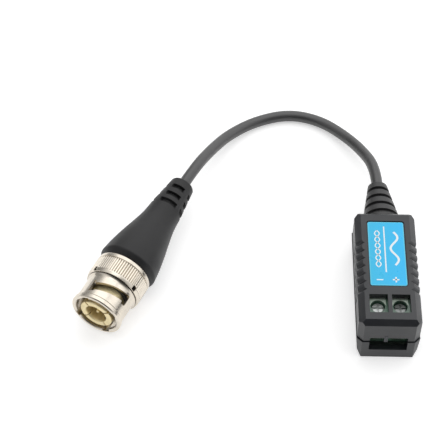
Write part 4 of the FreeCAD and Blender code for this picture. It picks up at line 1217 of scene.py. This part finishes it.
@dataclass
class CouplingSleeve:
    """The coupling sleeve: a wall with two tracks cut through it, and the knurled grip behind them.

    Angles are in degrees round the plug's axis, and lengths in millimetres from its mouth. A
    track's legs and its rear rise are given by the angle at which they begin or end and by how
    far they go. The second track lies half a turn from the first. The web that runs on the body
    has the radius of its hole and its two faces, and the groove behind the teeth has its radius
    and its end.
    """

    bore: float = 5.2
    wall: Tuple[Pair, ...] = ((0.0, 6.08), (0.2, 6.28), (1.05, 6.28), (1.07, 5.83), (1.25, 5.83),
                              (1.37, 5.95), (6.65, 5.95), (6.95, 5.99), (7.2, 6.10), (7.45, 6.30))
    track: Pair = (22.0, 118.0)
    track_front: float = 2.33
    track_width: float = 2.2
    track_pitch: float = 0.0204
    entry_leg: Pair = (103.0, 0.25)
    entry_rise: Pair = (112.0, 0.6)
    lock_leg: Pair = (35.0, 0.65)
    corner: float = 0.35
    entry_groove: Pair = (105.0, 125.0)
    groove_depth: float = 0.5
    band: Pair = (3.0, 5.3)
    seam: Pair = (1.06, 1.26)
    grip_start: float = 7.58
    grip_front: float = 7.18
    teeth_start: float = 8.5
    teeth_stop: float = 12.1
    length: float = 13.4
    radius: float = 6.8
    valley_radius: float = 6.0
    shaded_gap_radius: float = 5.5
    neck_radius: float = 5.85
    front_bore: float = 5.25
    rear_bore: float = 5.6
    web: Point = (4.25, 9.4, 10.4)
    rear_groove: Pair = (6.6, 12.27)
    tooth_count: int = 72
    tooth_depth: float = 0.17
    tooth_land: float = 0.55
    tooth_flank: float = 0.3
    mark_angles: Tuple[float, ...] = (32.0, 131.0, 212.0, 311.0)
    mark_place: float = 8.35
    mark_size: float = 0.95
    mark_depth: float = 0.6
    edge: float = 0.06 * MM

    def build(self, nickel: Finish) -> List[Thing]:
        """Make the sleeve.

        Args:
            nickel: Its finish.

        Returns:
            Its pieces.
        """
        shell = add_piece("bayonet_sleeve", self.shell(), "coupling_sleeve", nickel)
        round_edges(shell, self.edge, 40.0)
        grip = add_piece("knurled_grip", self.grip(), "coupling_sleeve", nickel,
                         stands=False)
        return [shell, grip]

    def columns(self) -> Array:
        """Angles of the wall's points: close together at a track's ends and at its legs' sides.

        Returns:
            The angles all round, in degrees.
        """
        start, stop = self.track
        near = np.array([0.0, 0.5, 1.2, 2.0, 3.4])
        lock, entry, rise = self.lock_leg[0], self.entry_leg[0], self.entry_rise[0]
        groove_start, groove_stop = self.entry_groove
        turn = np.concatenate([
            start + near, np.linspace(start + 5.0, lock - 0.6, 4), [lock + 0.4],
            np.linspace(lock + 3.0, entry - 3.0, 26),
            [entry - 0.4, entry + 0.4, groove_start - 0.5, groove_start + 0.5, 108.5],
            [rise - 0.4, rise + 0.4], stop - near[::-1], [groove_stop - 0.5, groove_stop + 0.5],
            np.linspace(groove_stop + 3.0, start + 177.0, 24)])
        return np.concatenate([turn, turn + 180.0])

    def edges(self, angle: Array) -> Tuple[Array, Array]:
        """The track's front and rear edges at each angle.

        Both run along one helix, falling towards the mouth as the angle grows. The legs take the
        front edge further forward, and near the ends both edges close in along a quarter circle.

        Args:
            angle: Angles within the track, in degrees.

        Returns:
            The distances of the two edges from the mouth.
        """
        start, stop = self.track
        plain_radius = self.wall[-4][1]
        front = self.track_front + (stop - angle) * self.track_pitch
        rear = front + self.track_width
        front = front - np.where(angle > self.entry_leg[0], self.entry_leg[1], 0.0)
        front = front - np.where(angle < self.lock_leg[0], self.lock_leg[1], 0.0)
        rear = rear + np.where(angle > self.entry_rise[0], self.entry_rise[1], 0.0)
        inward = np.minimum(angle - start, stop - angle) * math.radians(plain_radius)
        short = np.clip(self.corner - inward, 0.0, self.corner)
        close = self.corner - np.sqrt(self.corner ** 2 - short ** 2)
        return front + close, rear - close

    def shell(self) -> Mesh:
        """The wall with its tracks cut through it.

        The rows lie evenly at first. Each is then shifted by two tents, which carry the rows of a
        straight band to the track's edges and fade out before the flange and the grip. Shade is
        painted into the seam behind the flange and at the rear end, and a little into the bore.

        Returns:
            The mesh.
        """
        angle = self.columns()
        turned = (angle - self.track[0]) % 180.0 + self.track[0]
        inside = turned <= self.track[1] + 0.01
        front, rear = self.edges(np.minimum(turned, self.track[1]))
        (low, high), fixed = self.band, (1.55, 6.65)
        rows = np.concatenate([[0.0, 0.2, 0.6, 1.05, 1.07, 1.25, 1.37, fixed[0]],
                               np.linspace(1.75, low, 6), np.linspace(low, high, 10)[1:],
                               np.linspace(high, fixed[1], 6)[1:],
                               [6.8, 6.95, 7.1, 7.2, 7.33, 7.45]])
        first = np.interp(rows, (fixed[0], low, high), (0.0, 1.0, 0.0))
        second = np.interp(rows, (low, high, fixed[1]), (0.0, 1.0, 0.0))
        along = rows[:, None] + np.outer(first, front - low) + np.outer(second, rear - high)
        outer = np.interp(along, *np.array(self.wall).T)
        groove = (turned > self.entry_groove[0]) & (turned < self.entry_groove[1])
        groove |= turned < self.lock_leg[0]
        sunk = np.outer(rows < low, groove) * self.groove_depth
        inner = self.bore + np.maximum(np.clip(0.25 - along, 0.0, 0.25), sunk)
        cut = np.outer((rows[:-1] > low - 0.01) & (rows[1:] < high + 0.01),
                       inside & np.roll(inside, -1))
        # Painted shade: dark in the seam behind the flange and at the rear end.
        dark = np.where((along > self.seam[0]) & (along < self.seam[1]), 0.75, 0.0)
        dark = dark + np.where(along > 7.4, 0.7, 0.0)
        # A little painted shade in the bore.
        dull = 0.15 * np.clip(along - 1.8, 0.0, 1.0)
        return pierced_tube(angle, along, (outer, inner), cut, np.concatenate([dark, dull]))

    def grip(self) -> Mesh:
        """The knurled grip: an outline turned round the axis, sunk between the teeth and in the
        square marks.

        A tooth's land ends where its flank falls evenly to the valley. Shade is painted into the
        marks, the valleys, round the neck and in the bore at the rear.

        Returns:
            The mesh.
        """
        radius, start = self.radius, (self.front_bore, self.grip_front, 0.0)
        nose = rounded_outline([start, (self.neck_radius, self.grip_front, 0.0),
                                (self.neck_radius, self.grip_start, 0.0),
                                (radius - 0.2, self.grip_start, 0.06),
                                (radius, self.grip_start + 0.7, 0.25),
                                (radius, self.teeth_start, 0.0)], steps=6)
        body = np.concatenate([np.arange(self.teeth_start + 0.06, 9.0, 0.08),
                               np.linspace(9.2, self.teeth_stop - 0.06, 10), [self.teeth_stop]])
        (valley, valley_stop), (hole, web_front, web_rear) = self.rear_groove, self.web
        tail = rounded_outline([(valley, self.teeth_stop + 0.05, 0.0), (valley, valley_stop, 0.0),
                                (radius, valley_stop + 0.07, 0.05), (radius, self.length, 0.35),
                                (self.rear_bore, self.length, 0.1),
                                (self.rear_bore, web_rear, 0.0), (hole, web_rear, 0.0),
                                (hole, web_front, 0.0), (self.front_bore, web_front, 0.0), start],
                               steps=6)
        outline = np.concatenate([nose, np.stack([np.full_like(body, radius), body], axis=1),
                                  tail])
        angle = around(self.tooth_count * 8)
        share = (angle * self.tooth_count / FULL_TURN) % 1.0
        fall = np.clip((np.abs(2.0 * share - 1.0) - self.tooth_land) / self.tooth_flank, 0.0, 1.0)
        out, along = outline[:, :1], outline[:, 1:]
        outside = out > self.valley_radius
        toothed = (along > self.teeth_start + 0.01) & (along < self.teeth_stop - 0.01) & outside
        between = toothed * fall
        marked = outside * stamp(radius, angle, along, self.mark_angles, self.mark_place,
                                 (self.mark_size, self.mark_size))
        sunk = np.maximum(between * self.tooth_depth, marked * self.mark_depth)
        gap = ~outside & (out > self.shaded_gap_radius)
        # Painted shade: darkest in the marks, then round the neck and in the rear bore, and faint in the valleys.
        painted_shade = np.maximum(np.maximum(marked, gap * 0.75), between * 0.25)
        return grid_mesh(PLUG_AXIS.lay(out - sunk, angle, along), painted_shade=painted_shade)


@dataclass
class Plug:
    """The bayonet plug: its boot, coupling sleeve, contacts and what they hide.

    Lengths are in millimetres, those of the boot from its own front and the others from the
    sleeve's mouth. An outline's corners have a radius, a place and a rounding, the contact's wall
    a place and two radii, and a row of slots its middle and its slots' length round the tail.
    """

    front: float = 13.7
    front_radius: float = 6.25
    bore: Pair = (3.2, 1.3)
    rim: Pair = (7.2, 1.3)
    flank: Tuple[Pair, ...] = ((7.2, 1.3), (6.8, 4.5), (6.1, 8.3), (5.2, 12.3),
                               (4.4, 16.3), (4.15, 18.7), (4.06, 20.3))
    tail_radius: float = 2.95
    end_round: float = 0.8
    length: float = 29.2
    slot_rows: Tuple[Pair, ...] = ((20.55, 4.5), (23.15, 3.8), (25.85, 3.3))
    slot_angles: Tuple[float, ...] = (-9.0, 79.0, 169.0, 259.0)
    slot_width: float = 1.2
    slot_depth: float = 0.8
    contact_wall: Tuple[Point, ...] = (
        (0.1, 3.86, 2.72), (0.28, 4.05, 2.6), (0.6, 4.05, 2.55), (2.5, 4.05, 2.55),
        (4.5, 4.05, 2.55), (5.2, 4.05, 2.55), (6.09, 4.05, 2.55), (6.1, 3.4, 2.55),
        (6.8, 3.4, 2.55))
    finger_slot: float = 0.35
    finger_length: float = 4.4
    finger_angle: float = 38.0
    pin_outline: Tuple[Point, ...] = ((0.0, 0.8, 0.0), (0.27, 0.8, 0.2), (0.675, 1.95, 0.35),
                                      (0.675, 5.25, 0.0), (0.0, 5.25, 0.0))
    insulator_outline: Tuple[Point, ...] = ((0.7, 5.2, 0.0), (2.35, 5.2, 0.12), (2.35, 13.0, 0.1),
                                            (0.7, 13.0, 0.0), (0.7, 5.2, 0.0))
    edge: float = 0.07 * MM
    black: Colour = (0.012, 0.012, 0.013)
    nickel: Colour = (0.71, 0.65, 0.56)
    gold: Colour = (0.92, 0.79, 0.48)

    def plate(self, name: str, colour: Colour, **looks: float) -> PlatedMetal:
        """Plated metal that was turned round the plug's axis."""
        return PlatedMetal(name, colour, PLUG_AXIS.origin, PLUG_TURN, **looks)

    def build(self) -> List[Thing]:
        """Make the plug.

        Returns:
            Every piece and node of the plug.
        """
        nickel = self.plate("Nickel plate", self.nickel)
        gold = self.plate("Turned gold plate", self.gold, roughness=0.42, haze=0.06,
                          marks_per_metre=6000.0, marks_depth=0.012 * MM, metallic=0.7)
        bright = self.plate("Bright gold plate", self.gold, roughness=0.25)
        return [self.boot(), *CouplingSleeve().build(nickel), self.contact(gold), self.pin(bright),
                self.insulator(), *self.hidden(nickel)]

    def boot(self) -> Thing:
        """The moulded boot.

        Its radius follows a smooth curve through the flank's stations, falls evenly along the
        tail and closes in along a quarter circle, less the slots' depth.

        Returns:
            The piece.
        """
        nose = rounded_outline([(self.bore[0], 0.0, 0.0), (self.front_radius, 0.0, 0.12),
                                (*self.rim, 0.35), (*self.flank[1], 0.0)], steps=7)[:-1]
        stations = np.array(self.flank)
        tail_top, tail_start = self.flank[-1]
        flank = np.linspace(nose[-1, 1] + 0.05, tail_start, 120)
        tail = np.arange(tail_start + 0.08, self.length - self.end_round, 0.08)
        share = (tail - tail_start) / (self.length - tail_start)
        tail_radius = tail_top + (self.tail_radius - tail_top) * share
        fall = np.linspace(0.0, math.pi / 2, 10)
        radius = np.concatenate([
            nose[:, 0], self.through(stations[:, 1], stations[:, 0], flank), tail_radius,
            tail_radius[-1] - self.end_round * (1.0 - np.cos(fall)), [self.bore[1]]])[:, None]
        along = np.concatenate([
            nose[:, 1], flank, tail,
            self.length - self.end_round + self.end_round * np.sin(fall), [self.length]])[:, None]
        angle = around(288)
        slots = np.maximum.reduce([stamp(radius, angle, along, self.slot_angles, middle,
                                         (length, self.slot_width))
                                   for middle, length in self.slot_rows])
        points = PLUG_AXIS.lay(radius - self.slot_depth * slots, angle, self.front + along)
        vinyl = SoftVinyl("Black boot moulding", self.black, specular=0.42)
        return add_piece("moulded_boot", grid_mesh(points, sharp=60.0), "plug_boot",
                         vinyl)

    @staticmethod
    def through(places: Array, values: Array, wanted: Array) -> Array:
        """A smooth curve through stations.

        It has cubic pieces, whose slope at a station is that of the line between its two
        neighbours.

        Args:
            places: Where the stations are.
            values: The values there.
            wanted: Where the curve is read.

        Returns:
            Its values there.
        """
        slopes = np.gradient(values, places)
        index = np.clip(np.searchsorted(places, wanted) - 1, 0, len(places) - 2)
        step = places[index + 1] - places[index]
        share = (wanted - places[index]) / step
        return ((2 * share ** 3 - 3 * share ** 2 + 1) * values[index]
                + (share ** 3 - 2 * share ** 2 + share) * step * slopes[index]
                + (3 * share ** 2 - 2 * share ** 3) * values[index + 1]
                + (share ** 3 - share ** 2) * step * slopes[index + 1])

    def contact(self, gold: Finish) -> Thing:
        """The gold sleeve, slotted into four spring fingers.

        Args:
            gold: Its finish.

        Returns:
            The piece.
        """
        stations = np.array(self.contact_wall)
        half = math.degrees(self.finger_slot / 2 / stations[:, 1].max())
        finger = np.concatenate([[half], np.linspace(4.0 + half, 86.0 - half, 14), [90.0 - half]])
        angle = self.finger_angle + (finger[None, :] + 90.0 * np.arange(4)[:, None]).ravel()
        shape = (len(stations), len(angle))
        along, outer, inner = (np.broadcast_to(stations[:, [part]], shape) for part in range(3))
        slot = np.arange(len(angle)) % len(finger) == len(finger) - 1
        cut = np.outer(stations[1:, 0] < self.finger_length + 0.2, slot)
        mesh = pierced_tube(angle, along, (outer, inner), cut)
        piece = add_piece("contact_fingers", mesh, "outer_contact", gold)
        round_edges(piece, self.edge)
        return piece

    @staticmethod
    def turned(corners: Sequence[Point], columns: int) -> Mesh:
        """The surface of a rounded outline turned round the plug's axis."""
        outline = rounded_outline(corners)
        return grid_mesh(PLUG_AXIS.lay(outline[:, :1], around(columns), outline[:, 1:]))

    def pin(self, gold: Finish) -> Thing:
        """The gold pin with its tapered tip."""
        mesh = self.turned(self.pin_outline, 48)
        return add_piece("gold_pin", mesh, "centre_pin", gold)

    def insulator(self) -> Thing:
        """The white insulator behind the pin.

        Returns:
            The piece.
        """
        mesh = self.turned(self.insulator_outline, 64)
        white = MouldedPlastic("White insulator", (0.80, 0.79, 0.74), roughness=0.4, mottling=0.03)
        return add_piece("pin_insulator", mesh, "insulator", white)

    def hidden(self, nickel: PlatedMetal) -> List[Thing]:
        """Dress the nodes that keep their own shape.

        Args:
            nickel: The plug's plating.

        Returns:
            Those nodes.
        """
        spring = self.plate("Spring steel", (0.55, 0.55, 0.55))
        finishes = {
            "plug_body": nickel,
            "crimp_ferrule": nickel,
            "spring_clip": spring,
            "wave_washer": spring,
            "thrust_washer": spring,
            "cable_screen": BraidedWire("Copper braid", (0.74, 0.40, 0.22), PLUG_AXIS.origin,
                                        PLUG_TURN, dark=(0.20, 0.09, 0.05)),
            "cable_core": MouldedPlastic("White core", (0.80, 0.80, 0.76), mottling=0.03),
            "gasket": SoftVinyl("Seal", (0.03, 0.03, 0.03)),
        }
        return [dress(node, finish) for node, finish in finishes.items()]


def main() -> None:
    """Build the studio and the sub-assemblies in order."""
    logging.basicConfig(level=logging.INFO, format="%(name)s: %(message)s")
    bpy.context.scene.view_settings.view_transform = "Standard"
    Studio().build()
    Housing().build()
    Terminal().build()
    Electronics().build()
    carried = Plug().build()
    Lead().build(carried)


if __name__ == "__main__":
    main()
